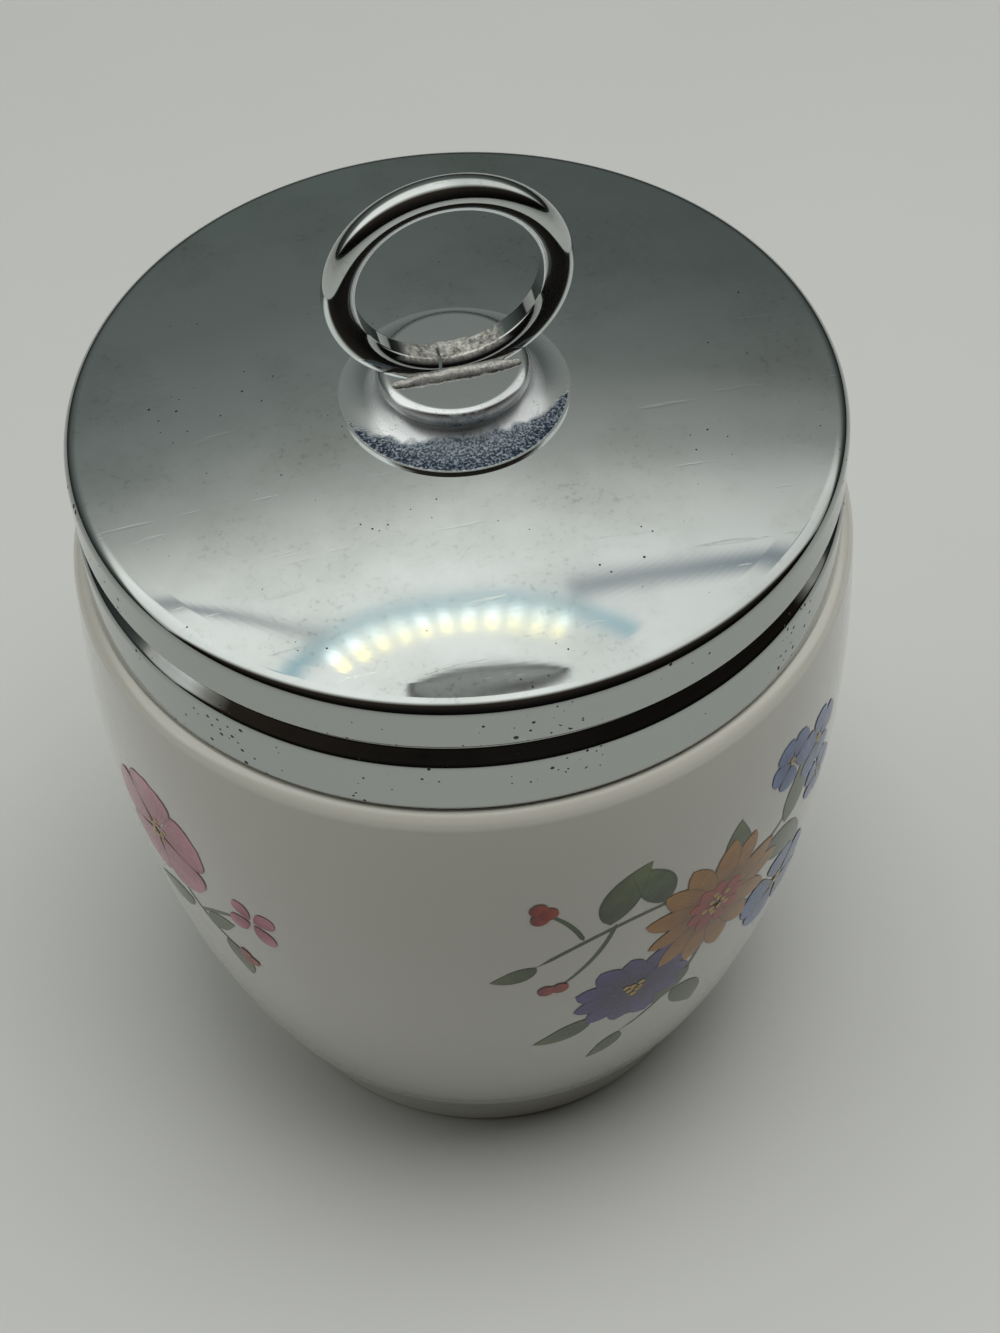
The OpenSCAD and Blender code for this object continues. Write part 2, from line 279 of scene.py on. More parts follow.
def glazed_porcelain():
    material, tree, shader, place = new_material("glazed_porcelain")
    height = add(tree, "split", place, out=2)
    patches = add(tree, "noise", place, grain(GLAZE_CLOUD), 2.0)
    body = add(tree, "blend", patches, "D9D6CC", "D3D1C6")
    pool = add(tree, "range", height, BISCUIT_Z * MM, GLAZE_POOL_Z * MM, 0.55, 0.0)
    pooled = add(tree, "blend", pool, body, "DADACF")
    bare = add(tree, "LESS_THAN", height, BISCUIT_Z * MM)
    ripple = add(tree, "noise", place, grain(GLAZE_RIPPLE), 1.0)
    fill(shader, {
        "Base Color": add(tree, "blend", bare, pooled, "D8D0C2"),
        "Roughness": add(tree, "range", bare, 0.0, 1.0, 0.16, 0.7),
        "Coat Normal": add(tree, "bump", ripple, 0.012 * MM, 1.0),
        "IOR": 1.5, "Coat Weight": 0.7, "Coat Roughness": 0.03, "Coat IOR": 1.5})
    return material


porcelain = glazed_porcelain()
print("made", porcelain.name)

# %% [markdown]
# ## The cup
# The cup has a bellied body on an inset foot, and a neck that the lid screws on. In the CAD it is a solid
# of small facets. Here its outline is turned again in many more steps, because a glaze shows every facet.
# The body stays a hair inside the CAD solid, which leaves room for the print on top of it.

# %% The cup's outline
FOOT_R, FOOT_H, FOOT_FLARE, FOOT_RING_W, FOOT_HOLLOW, FOOT_EDGE = 22.5, 7.8, 0.4, 3.6, 2.4, 0.7
BASE_R, BASE_EDGE = 25.7, 2.0
WIDEST_Z = 57.4
HEM_GAP = 0.2   # mm between the lid's hem and the shoulder
SHOULDER_Z, SHOULDER_EDGE = HEM_Z - HEM_GAP, 1.4
NECK_R, NECK_FILLET, MOUTH_R, RIM_EDGE = 30.0, 0.25, 26.0, 1.2
WALL, FLOOR_Z, FLOOR_CORNER = 4.2, 7.4, 8.0
PRINT_ROOM = 0.1   # how far the glazed body stays inside the CAD solid
CURVE_STEPS = 60
BODY_SPAN = (WIDEST_Z - FOOT_H) / math.sqrt(1 - (BASE_R / BODY_R) ** 2)


def body_radius(z):
    """Radius of the body's ellipse at a height, in mm."""
    return BODY_R * math.sqrt(1 - ((z - WIDEST_Z) / BODY_SPAN) ** 2)


def body_curve(start, end, inset):
    """Corners along the body's outline, moved in from the surface."""
    heights = [start + (end - start) * step / CURVE_STEPS for step in range(CURVE_STEPS + 1)]
    return [(body_radius(z) - inset, z, 0) for z in heights]


inner_shoulder_z = SHOULDER_Z - WALL - (BODY_R - WALL - MOUTH_R) / 2
cup_corners = [
    (0, FOOT_HOLLOW, 0),
    (FOOT_R - FOOT_RING_W - FOOT_FLARE, FOOT_HOLLOW, FOOT_EDGE),
    (FOOT_R - FOOT_RING_W, 0, FOOT_EDGE),
    (FOOT_R, 0, FOOT_EDGE),
    (FOOT_R + FOOT_FLARE, FOOT_H, FOOT_EDGE),
    (BASE_R - PRINT_ROOM, FOOT_H, BASE_EDGE),
    *body_curve(FOOT_H + 2 * BASE_EDGE, SHOULDER_Z - 2 * SHOULDER_EDGE, PRINT_ROOM),
    (body_radius(SHOULDER_Z) - PRINT_ROOM, SHOULDER_Z, SHOULDER_EDGE),
    (NECK_R, SHOULDER_Z, NECK_FILLET),
    (NECK_R, RIM_Z, RIM_EDGE),
    (MOUTH_R, RIM_Z, RIM_EDGE),
    (MOUTH_R, SHOULDER_Z - WALL, WALL / 2),
    (body_radius(inner_shoulder_z) - WALL, inner_shoulder_z, WALL / 2),
    *body_curve(inner_shoulder_z - WALL, FLOOR_Z + FLOOR_CORNER, WALL),
    (body_radius(FLOOR_Z) - WALL, FLOOR_Z, FLOOR_CORNER),
    (0, FLOOR_Z, 0),
]
cup = turned("glazed_cup", outline(cup_corners))
fit_out(cup, porcelain, "cup", "porcelain", "porcelain_cup")

# %% [markdown]
# ## Growing shapes with Geometry Nodes
# A tree is a recipe with named inputs. Another bakes a plain mesh from a tree and a mesh, by putting the
# tree on the mesh, reading the result and throwing the modifier away with the object that held it. A
# third grows a mesh from nothing.

# %% Recipes
SOCKETS = {float: "NodeSocketFloat", int: "NodeSocketInt", tuple: "NodeSocketVector",
           bpy.types.Material: "NodeSocketMaterial", bpy.types.Mesh: "NodeSocketGeometry"}


def new_recipe(name, inputs):
    """An empty geometry tree whose inputs are named, and the node that brings them in."""
    tree = bpy.data.node_groups.new(name, "GeometryNodeTree")
    for key, kind in inputs.items():
        tree.interface.new_socket(key, in_out="INPUT", socket_type=SOCKETS[kind])
    tree.interface.new_socket("Geometry", in_out="OUTPUT", socket_type="NodeSocketGeometry")
    return tree, add(tree, "NodeGroupInput", out=None).outputs


def baked(tree, mesh, values):
    """The mesh that a recipe makes from a mesh. A space in an input's name is written _."""
    holder = placed("holder", mesh)
    modifier = holder.modifiers.new("recipe", "NODES")
    modifier.node_group = tree
    for item in tree.interface.items_tree:
        key = item.name.replace(" ", "_")
        if item.in_out == "INPUT" and key in values:
            modifier[item.identifier] = values[key]
    result = bpy.data.meshes.new_from_object(holder.evaluated_get(bpy.context.evaluated_depsgraph_get()))
    bpy.data.objects.remove(holder)
    return result


def grow(tree, **values):
    """The mesh that a recipe grows from nothing with these inputs."""
    mesh = baked(tree, bpy.data.meshes.new("holder"), values)
    # The empty mesh leaves an empty first slot, which is dropped.
    mesh.materials.pop(index=0)
    mesh.polygons.foreach_set("material_index", [0] * len(mesh.polygons))
    return mesh


def put_out(tree, shape, material):
    """End a recipe: make instances real, give the material and hand the shape out."""
    shape = add(tree, "GeometryNodeRealizeInstances", shape)
    shape = add(tree, "GeometryNodeSetMaterial", shape, named={"Material": material})
    add(tree, "NodeGroupOutput", shape, out=None)
    print("the recipe", tree.name, "has", len(tree.nodes), "nodes")


print("a recipe can take", ", ".join(kind.__name__ for kind in SOCKETS))

# %% [markdown]
# ## The screw thread
# The neck has a moulded thread: one soft ridge of porcelain that winds round it and dies out at both
# ends. The lid's sleeve has the matching ridge inside. Both follow one rule, a helix, so one recipe makes
# both: a flat grid is bent round, one way of the grid along the helix and the other round the ridge.

# %% The thread recipe
THREAD_RINGS, THREAD_SIDES = 220, 17
BLUNT = 0.7   # 1 is a round crest, less is a blunter one
thread, given = new_recipe("thread_ridge", {
    "Wall radius": float, "Depth": float, "Sunk": float, "Width": float, "Outward": float,
    "Pitch": float, "Turns": float, "Height": float, "Start": float, "Fade": float,
    "Material": bpy.types.Material})
sheet = add(thread, "GeometryNodeMeshGrid", 1.0, 1.0, THREAD_RINGS, THREAD_SIDES, out=None)
spot = add(thread, "split", add(thread, "GeometryNodeInputPosition"), out=None).outputs
along = add(thread, "*", add(thread, "+", spot[0], 0.5), given["Turns"])
around = add(thread, "*", spot[1], math.tau)
to_end = add(thread, "MINIMUM", add(thread, "-", given["Turns"], along), along)
full = add(thread, "/", to_end, given["Fade"], use_clamp=True)
rise = add(thread, "SINE", around)
crest = add(thread, "POWER", add(thread, "MAXIMUM", rise, 0.0), BLUNT)
crest = add(thread, "*", add(thread, "*", crest, full), given["Depth"])
root = add(thread, "*", add(thread, "MINIMUM", rise, 0.0), given["Sunk"])
reach = add(thread, "*", add(thread, "+", crest, root), given["Outward"])
radius = add(thread, "+", given["Wall radius"], reach)
side = add(thread, "*", add(thread, "COSINE", around), given["Width"])
side = add(thread, "*", side, add(thread, "*", full, 0.5))
turn = add(thread, "*", add(thread, "+", given["Start"], along), math.tau)
lift = add(thread, "*", add(thread, "*", turn, 1 / math.tau), given["Pitch"])
lift = add(thread, "+", add(thread, "+", lift, given["Height"]), side)
wound = add(thread, "combine", add(thread, "*", radius, add(thread, "COSINE", turn)),
            add(thread, "*", radius, add(thread, "SINE", turn)), lift)
ridge = add(thread, "GeometryNodeSetPosition", sheet.outputs[0], named={"Position": wound})
ridge = add(thread, "GeometryNodeMergeByDistance", ridge, named={"Distance": 0.01 * MM})
put_out(thread, ridge, given["Material"])

# %% Wind the cup's thread
PITCH = 4.0
THREAD_DEPTH, THREAD_W, THREAD_SUNK = 1.2, 1.7, 0.25   # the last is how far it is let into its wall
THREAD_Z = SHOULDER_Z + 3.0
CUP_TURNS, LID_TURNS, FADE_TURNS = 1.4, 1.25, 0.07


def wind(name, wall, way, turns, height, start, material, body, slot):
    """One ridge on a wall of radius wall, in mm, outwards (way 1) or inwards (-1). start is in turns."""
    ridge = bmesh.new()
    ridge.from_mesh(grow(
        thread, Wall_radius=wall * MM, Depth=THREAD_DEPTH * MM, Sunk=THREAD_SUNK * MM,
        Width=THREAD_W * MM, Outward=way, Pitch=PITCH * MM, Turns=turns, Height=height * MM,
        Start=start, Fade=FADE_TURNS, Material=material))
    fit_out(new_object(name, mesh_of(ridge, name)), material, body, slot)


wind("neck_thread", NECK_R, 1.0, CUP_TURNS, THREAD_Z, 0.0, porcelain, "cup", "porcelain")

# %% [markdown]
# ## The lid's main lines
# The lid is a shallow dome, so its outer face is part of a large sphere. The dome, the edge and the
# groove are worked out from the lid's radius, and both the plating and the shapes use them.

# %% Work out the lid
SHEET = 0.6
LID_EDGE, UPPER_BAND = 1.3, 3.5
GROOVE_H, GROOVE_DEPTH = 2.8, 1.35
GROOVE_UPPER_R, GROOVE_LOWER_R, GROOVE_ROOT_R = 0.7, 1.0, 0.4
HEM_R, HEM_W = 0.65, 1.8
DOME_RISE = 2.0
SPIGOT_R = 2.0
DOME_R = (LID_R ** 2 + DOME_RISE ** 2) / (2 * DOME_RISE)
# The cap has a small hole in its middle, so its box stops a hair below the top of the dome.
DOME_TOP_Z = DOME_TOP + DOME_R - math.sqrt(DOME_R ** 2 - SPIGOT_R ** 2)


def dome_z(r):
    """Height of the lid's outer face at a distance from the axis, in mm."""
    return DOME_TOP_Z - DOME_R + math.sqrt(DOME_R ** 2 - r ** 2)


dome_edge_z = dome_z(LID_R)
edge_angle = (math.pi / 2 - math.asin(LID_R / DOME_R)) / 2
GROOVE_TOP = dome_edge_z - LID_EDGE * math.tan(edge_angle) - UPPER_BAND
print("the dome meets the skirt at", round(dome_edge_z, 2), "mm, the groove's top at", round(GROOVE_TOP, 2))

# %% [markdown]
# ## Chrome plate
# The lid is pressed from brass or steel sheet, polished and plated: nickel, then a film of chromium. That
# gives a cool, nearly perfect mirror. Sixty years of kitchens then dull it: hairline scratches, a haze of
# wiping and pits where damp got through the film. The groove has a painted dark-brown reflection, and the
# skirt is darker. Roughness carries the haze and scratches, bump carries the slow waves of the pressing,
# and pits have all three.

# %% Make the chrome
SMEAR, PIT_PATCH = 11.0, 9.0   # mm from smear to smear, and from one pitted patch to the next
PIT_CELL = 0.75     # mm between places where a pit may be
PIT_SIZE = 0.13     # radius of a pit as a share of its cell
WAVE = 16.0         # mm from wave to wave in the pressed sheet
RUBBED_R = 31.5     # radius, mm, inside which the lid is wiped most and is duller
RUBBED_SOFT = 0.86  # where that starts to fade, as a share of the radius
SCRATCH_LENGTH = 12.0
DULL_FLECK = 0.7    # mm from fleck to fleck in the dulled patches
FILLER_GRAIN = 0.5
FILLER_RISE = 4.2   # mm that the filler metal has run up the inside of the ring


def worn_chrome(name, tint="D0D4D3", haze=0.03, pits=0.6, waves=1.0, groove_reflection_band=None, filler_z=None):
    """Chrome plate. The band of heights, if given, is (lowest, highest) in mm of a painted dark-brown
    reflection in the groove, and filler_z is the height in mm up to which filler metal has run over the
    inside of the lifting ring."""
    material, tree, shader, place = new_material(name)
    clouds = add(tree, "noise", place, grain(SMEAR), 4.0, 0.6)
    smear = add(tree, "range", clouds, 0.42, 0.72, 0.0, 1.0)

    cells = add(tree, "ShaderNodeTexVoronoi", place, out=None, named={"Scale": grain(PIT_CELL)}).outputs
    chance = add(tree, "ShaderNodeSeparateColor", cells["Color"])
    patch = add(tree, "noise", place, grain(PIT_PATCH), 2.0)
    spot = add(tree, "split", place, out=None).outputs
    out = add(tree, "length", add(tree, "combine", spot[0], spot[1]))
    likely = add(tree, "range", patch, 0.45, 0.7, 0.02, pits)
    skirt = add(tree, "range", out, (LID_R - 0.6) * MM, (LID_R - 0.1) * MM, 1.0, 2.2)
    splashed = add(tree, "*", likely, skirt)
    chosen = add(tree, "GREATER_THAN", splashed, chance)
    wide = add(tree, "*", chance, PIT_SIZE * 2)
    close = add(tree, "LESS_THAN", cells["Distance"], add(tree, "+", wide, 0.04))
    pit = add(tree, "*", chosen, close)

    streaks = []
    for angle in (0.5, 2.1):
        stretch = {"Rotation": (0.0, 0.0, angle), "Scale": (1.0, SCRATCH_LENGTH, 1.0)}
        lay = add(tree, "ShaderNodeMapping", place, named=stretch)
        hair = add(tree, "noise", lay, grain(SCRATCH_LENGTH), 8.0)
        streaks.append(add(tree, "range", hair, 0.68, 0.74, 0.0, 0.5))
    scratch = add(tree, "MAXIMUM", streaks[0], streaks[1])

    metal = add(tree, "blend", smear, tint, "BFC3C0")
    dust = add(tree, "noise", place, grain(DULL_FLECK), 3.0, 0.7)
    dust = add(tree, "*", add(tree, "range", dust, 0.56, 0.68, 0.0, 0.45), smear)
    metal = add(tree, "blend", dust, metal, "80847F")
    # Towards the outer edge and on the skirt the metal is darker.
    dark_tone = add(tree, "range", out, (LID_R - 1.0) * MM, (LID_R - 0.1) * MM, 0.0, 1.0)
    metal = add(tree, "blend", dark_tone, metal, "B0B4B1")
    # The groove gets a painted dark-brown reflection, broken up by the clouds.
    if groove_reflection_band:
        low, high = (z * MM for z in groove_reflection_band)
        middle, reach = (low + high) / 2, (high - low) / 2
        off = add(tree, "ABSOLUTE", add(tree, "-", spot[2], middle))
        groove_reflection = add(tree, "range", off, reach * 0.5, reach, 0.75, 0.0)
        metal = add(tree, "blend", add(tree, "*", groove_reflection, clouds), metal, "4A3A2E")
    run, metallic = 0.0, 1.0
    if filler_z:
        rise = add(tree, "-", spot[2], RING_Z * MM)
        away = add(tree, "length", add(tree, "combine", spot[0], 0.0, rise))
        inside = RING_R - 2 * WIRE_R
        inner = add(tree, "range", away, (inside + 0.4) * MM, (inside + 0.7) * MM, 1.0, 0.0)
        low = add(tree, "range", spot[2], (filler_z - 0.5) * MM, filler_z * MM, 1.0, 0.0)
        run = add(tree, "*", inner, low)
        skin = add(tree, "noise", place, grain(FILLER_GRAIN), 3.0, 0.7)
        silver = add(tree, "blend", add(tree, "range", skin, 0.35, 0.65, 0.0, 1.0), "77756C", "F6F4EC")
        metal = add(tree, "blend", run, metal, silver)
        metallic = add(tree, "range", run, 0.0, 1.0, 1.0, 0.6)
    rubbed = add(tree, "range", out, RUBBED_R * RUBBED_SOFT * MM, RUBBED_R * MM, 0.03, 0.0)
    dull = add(tree, "range", smear, 0.0, 1.0, haze, haze + 0.03)
    dull = add(tree, "+", dull, rubbed)
    dull = add(tree, "MULTIPLY_ADD", run, 0.3, dull)
    dull = add(tree, "+", add(tree, "*", scratch, 0.05), dull)
    wave = add(tree, "noise", place, grain(WAVE), 1.0)
    relief = add(tree, "bump", wave, 0.045 * MM * waves, 1.0)
    relief = add(tree, "bump", add(tree, "+", pit, scratch), 0.01 * MM, 0.4, relief, invert=True)
    fill(shader, {
        "Base Color": add(tree, "blend", pit, metal, "4B4E4C"),
        "Roughness": add(tree, "+", add(tree, "*", pit, 0.5), dull),
        "Normal": relief, "Metallic": metallic})
    return material


lid_chrome = worn_chrome("worn_chrome_plate", groove_reflection_band=(GROOVE_TOP - GROOVE_H, GROOVE_TOP))
ring_chrome = worn_chrome("polished_chrome_wire", tint="CACDCC", haze=0.035, pits=0.15, waves=0.3,
                          filler_z=RING_Z - RING_R + FILLER_RISE)
print("made", lid_chrome.name, "and", ring_chrome.name)

# %% [markdown]
# ## The lid's cap
# One disc of sheet is pressed to a shallow dome with a soft edge and a straight skirt. A groove is rolled
# round the skirt, which grips the threaded sleeve inside, and the skirt's end is turned in. The sheet's
# two faces are one outline and the same outline moved in by the sheet's thickness.

# %% The cap's outline
def dome_corners(start, end):
    """Corners along the outer face of the dome."""
    radii = [start + (end - start) * step / CURVE_STEPS for step in range(CURVE_STEPS + 1)]
    return [(r, dome_z(r), 0) for r in radii]


def moved_in(corners, thickness):
    """The other face of a sheet: the same corners moved to the left of the path."""
    result = []
    for i, (r, z, radius) in enumerate(corners):
        at = Vector((r, z))
        ways = []
        if i > 0:
            ways.append((at - Vector(corners[i - 1][:2])).normalized())
        if i < len(corners) - 1:
            ways.append((Vector(corners[i + 1][:2]) - at).normalized())
        normals = [Vector((-way.y, way.x)) for way in (ways[0], ways[-1])]
        left_turn = normals[0].x * normals[1].y - normals[0].y * normals[1].x > 0
        moved = at + (normals[0] + normals[1]) * thickness / (1 + normals[0].dot(normals[1]))
        change = -thickness if left_turn else thickness
        result.append((moved.x, moved.y, radius + change if radius > 0 else 0))
    return result


def both_faces(corners, thickness):
    """The closed outline of a sheet from the corners of one face."""
    return outline(corners) + outline(moved_in(corners, thickness))[::-1]


cap_corners = [
    (LID_R - HEM_W, HEM_Z, 0),
    (LID_R, HEM_Z, HEM_R),
    (LID_R, GROOVE_TOP - GROOVE_H, GROOVE_LOWER_R),
    (LID_R - GROOVE_DEPTH, GROOVE_TOP - GROOVE_H / 2, GROOVE_ROOT_R),
    (LID_R, GROOVE_TOP, GROOVE_UPPER_R),
    (LID_R, dome_edge_z, LID_EDGE),
    *reversed(dome_corners(SPIGOT_R, LID_R - 2 * LID_EDGE)),
]
cap_outline = both_faces(cap_corners, SHEET)
cap = turned("lid_cap_plated", cap_outline, loop=True)
fit_out(cap, lid_chrome, "lid", "plated_metal", "lid_cap")
print("the cap's outline has", len(cap_outline), "points")

# %% [markdown]
# ## The boss
# The boss is turned from solid: a flat-topped head with a soft edge, and a hollow side that spreads on to
# the lid. Damp has crept under the plating of its foot on the front side, where it is blue-black and thick
# with pale specks. The patch is a crescent: it starts further out the further it lies from the front.

# %% Speckled chrome
HEAD_R, HEAD_H, HEAD_EDGE = 6.7, 1.3, 0.9
WAIST_R = 6.1
SPECK, RAG = 0.2, 1.3            # mm from speck to speck, and from tooth to tooth of the patch's edge
PATCH_FACES = (-0.045, -0.999)   # the side of the lid that the patch is on
PATCH_R, PATCH_TAPER = 6.2, 4.2  # mm from the axis to the patch in front, and how much more at the sides


def speckled_chrome():
    material, tree, shader, place = new_material("speckled_chrome_plate")
    spot = add(tree, "split", place, out=None).outputs
    flat = add(tree, "combine", spot[0], spot[1])
    out = add(tree, "length", flat)
    way = add(tree, "vector", flat, operation="NORMALIZE")
    facing = add(tree, "vector", way, (*PATCH_FACES, 0.0), operation="DOT_PRODUCT", out=1)
    start = add(tree, "range", facing, 1.0, 0.0, PATCH_R * MM, (PATCH_R + PATCH_TAPER) * MM)
    rag = add(tree, "noise", place, grain(RAG), 3.0)
    ragged = add(tree, "range", rag, 0.3, 0.7, -0.3 * MM, 0.3 * MM)
    depth = add(tree, "+", add(tree, "-", out, start), ragged)
    patch = add(tree, "range", depth, 0.0, 0.5 * MM, 0.0, 1.0)
    inner = add(tree, "range", out, (BOSS_BASE_R - 0.25) * MM, (BOSS_BASE_R - 0.15) * MM, 1.0, 0.0)
    patch = add(tree, "*", patch, inner)
    flecks = add(tree, "noise", place, grain(SPECK), 2.0, 0.6)
    fewer = add(tree, "range", out, PATCH_R * MM, BOSS_BASE_R * MM, -0.05, 0.06)
    speck = add(tree, "range", add(tree, "-", flecks, fewer), 0.42, 0.62, 0.0, 1.0)
    stray = add(tree, "range", flecks, 0.6, 0.66, 0.0, 0.8)
    stray = add(tree, "*", stray, add(tree, "range", rag, 0.45, 0.6, 0.0, 1.0))
    outer = add(tree, "range", out, PATCH_R * MM, (BOSS_BASE_R - 1) * MM, 0.0, 1.0)
    ground = add(tree, "blend", outer, "5C6468", "1C2739")
    dark_tone = add(tree, "blend", speck, ground, "99A5AE")
    bright = add(tree, "blend", stray, "D8DBDB", "9A9FA2")
    side = add(tree, "range", spot[2], (BOSS_TOP - 0.5) * MM, (BOSS_TOP - 0.2) * MM, 0.2, 0.0)
    wall = add(tree, "range", out, (HEAD_R + 0.3) * MM, (HEAD_R + 1.2) * MM, 1.0, 0.0)
    wall = add(tree, "*", side, wall)
    side = add(tree, "+", wall, 0.09)
    worn = add(tree, "MAXIMUM", patch, add(tree, "*", wall, 5.0))
    fill(shader, {
        "Base Color": add(tree, "blend", patch, bright, dark_tone),
        "Roughness": add(tree, "MULTIPLY_ADD", add(tree, "MAXIMUM", patch, stray), 0.3, side),
        "Metallic": add(tree, "range", worn, 0.0, 1.0, 1.0, 0.5),
        "Normal": add(tree, "bump", add(tree, "*", speck, patch), 0.02 * MM, 0.8)})
    return material


boss_chrome = speckled_chrome()
print("made", boss_chrome.name)

# %% Turn the boss
BOSS_LIP, SPIGOT_PLAY = 0.3, 0.05
RIVET_R, RIVET_H = 3.4, 0.9
COVE = 0.8   # 1 is a plain ellipse, less is a squarer hollow, as a form tool leaves it
head_z = BOSS_TOP - HEAD_H
foot_z = dome_z(BOSS_BASE_R)
drop = head_z - foot_z - BOSS_LIP
quarter = [math.pi / 2 * step / CURVE_STEPS for step in range(CURVE_STEPS + 1)]
hollow_side = [
    (BOSS_BASE_R - (BOSS_BASE_R - WAIST_R) * math.cos(a) ** COVE, head_z - drop * math.sin(a) ** COVE, 0)
    for a in quarter
]
boss_corners = [
    (0, BOSS_TOP, 0),
    (HEAD_R, BOSS_TOP, HEAD_EDGE),
    (HEAD_R, head_z, (HEAD_R - WAIST_R) / 2),
    *hollow_side,
    (BOSS_BASE_R, foot_z, 0),
    *reversed(dome_corners(SPIGOT_R - SPIGOT_PLAY, BOSS_BASE_R - SPIGOT_PLAY)),
    (SPIGOT_R - SPIGOT_PLAY, WASHER_Z, 0),
    (RIVET_R, WASHER_Z, 0),
    (RIVET_R, WASHER_Z - RIVET_H, RIVET_H / 2),
    (0, WASHER_Z - RIVET_H, 0),
]
boss = turned("lid_boss", outline(boss_corners))
fit_out(boss, boss_chrome, "lid", "plated_metal", "boss")

# %% [markdown]
# ## The lifting ring
# The ring is bent from round wire with a flat inner side, cut, closed with a butt joint that still shows,
# and plated. Its section is swept round in mesh code and stops short of a full turn, and the two ends are
# faced off, so the joint is a real gap.

# %% Sweep the ring
WIRE_FLAT = 0.25
JOINT_GAP = 0.25
JOINT_AT = math.radians(9)
RING_STEPS, WIRE_STEPS = 220, 40


def wire_section():
    """Points round the wire, as distance from the ring's centre and along its axis, in mm."""
    middle = RING_R - WIRE_R
    half_flat = math.acos((WIRE_R - WIRE_FLAT) / WIRE_R)
    bend = 2 * (math.pi - half_flat)
    arc = [-bend / 2 + bend * step / WIRE_STEPS for step in range(WIRE_STEPS + 1)]
    points = [(middle + WIRE_R * math.cos(a), WIRE_R * math.sin(a)) for a in arc]
    flat_x, flat_y = points[-1]
    return points + [(flat_x, flat_y * share) for share in (0.9, 0.3, -0.3, -0.9)]


def swept_ring():
    bm = bmesh.new()
    section = wire_section()
    lost = JOINT_GAP / (RING_R - 2 * WIRE_R)
    start = -math.pi / 2 - JOINT_AT + lost / 2
    rings = []
    for step in range(RING_STEPS + 1):
        a = start + (math.tau - lost) * step / RING_STEPS
        rings.append([
            bm.verts.new((r * math.cos(a) * MM, y * MM, (RING_Z + r * math.sin(a)) * MM))
            for r, y in section
        ])
    for low, high in zip(rings, rings[1:]):
        for i in range(len(section)):
            j = (i + 1) % len(section)
            bm.faces.new([low[i], low[j], high[j], high[i]])
    bm.faces.new(rings[0])
    bm.faces.new(rings[-1])
    return mesh_of(bm)


ring = new_object("lifting_ring_wire", swept_ring())
fit_out(ring, ring_chrome, "lid", "plated_metal", "lifting_ring")
ring.visible_glossy = False   # the dulled lid shows no image of it

# %% [markdown]
# ## The braze
# The ring is fixed with filler metal that ran along both sides of the wire and froze with a rough skin.
# A bead that follows a path is work for Geometry Nodes: a line, a tube round it, and noise that pushes
# the skin in and out. The noise has no seed of its own, it reads the place, so it is the same each time.

# %% The bead recipe
bead, given = new_recipe("braze_bead", {
    "Start": tuple, "End": tuple, "Thickness": float, "Lumps": float, "Lump size": float,
    "Material": bpy.types.Material})
path = add(bead, "GeometryNodeCurvePrimitiveLine", named={"Start": given["Start"], "End": given["End"]})
path = add(bead, "GeometryNodeResampleCurve", path, named={"Count": 90})
part = add(bead, "GeometryNodeSplineParameter")
belly = add(bead, "SINE", add(bead, "*", part, math.pi))
belly = add(bead, "POWER", add(bead, "MAXIMUM", belly, 0.001), 0.3)
rough = add(bead, "noise", None, given["Lump size"], 3.0)
swell = add(bead, "*", add(bead, "-", rough, 0.5), given["Lumps"])
section = add(bead, "GeometryNodeCurvePrimitiveCircle", 20, named={"Radius": given["Thickness"]})
tube = add(bead, "GeometryNodeCurveToMesh", path, section, named={"Scale": belly, "Fill Caps": True})
push = add(bead, "scaled", add(bead, "GeometryNodeInputNormal"), swell)
tube = add(bead, "GeometryNodeSetPosition", tube, named={"Offset": push})
put_out(bead, tube, given["Material"])

# %% Rough filler metal
BRAZE_GRAIN = 0.3   # mm from grain to grain of its skin


def filler_metal():
    """Silver braze: a soft grey-yellow metal with a granular, half-dull skin."""
    material, tree, shader, place = new_material("silver_braze")
    skin = add(tree, "noise", place, grain(BRAZE_GRAIN), 5.0, 0.7)
    tone = add(tree, "range", skin, 0.35, 0.65, 0.0, 1.0)
    fill(shader, {
        "Base Color": add(tree, "blend", tone, "B2B0A8", "FAF8F2"),
        "Roughness": add(tree, "range", skin, 0.3, 0.7, 0.5, 0.25),
        "Normal": add(tree, "bump", skin, 0.12 * MM, 1.0),
        "Metallic": 0.55})
    return material


braze = filler_metal()
BEAD_R, BEAD_LONGER = 0.5, 0.2   # mm, the second past each end of the CAD's
BEAD_REACH = box_mm("braze_seam")[1][0] + BEAD_LONGER
BEAD_OUT, BEAD_UP = 0.15, 0.12   # mm from the wire's side and over the head to the bead's middle
LUMP, LUMP_HEIGHT = 0.9, 0.45
both_beads = bmesh.new()
for way in (-1, 1):
    ends = [(way * -BEAD_REACH * MM * end, way * (WIRE_R + BEAD_OUT) * MM, (BOSS_TOP + BEAD_UP) * MM)
            for end in (1, -1)]
    bead_mesh = grow(bead, Start=ends[0], End=ends[1], Thickness=BEAD_R * MM, Lumps=LUMP_HEIGHT * MM,
                     Lump_size=grain(LUMP), Material=braze)
    both_beads.from_mesh(bead_mesh)
seam = new_object("braze_bead", mesh_of(both_beads))
fit_out(seam, braze, "lid", "braze", "braze_seam")

# %% [markdown]
# ## Inside the lid
# The lining plate, the threaded sleeve and the washer are sheet metal that nobody polished: dull, with
# the fine rings that spinning leaves. The rings follow the distance from the axis. The seal is a ring of
# soft natural rubber. They show when the lid is off.

# %% Spun sheet and rubber
SPIN_LINE, SHEET_CLOUD, RUBBER_DUST = 0.5, 7.0, 1.2   # mm from one to the next


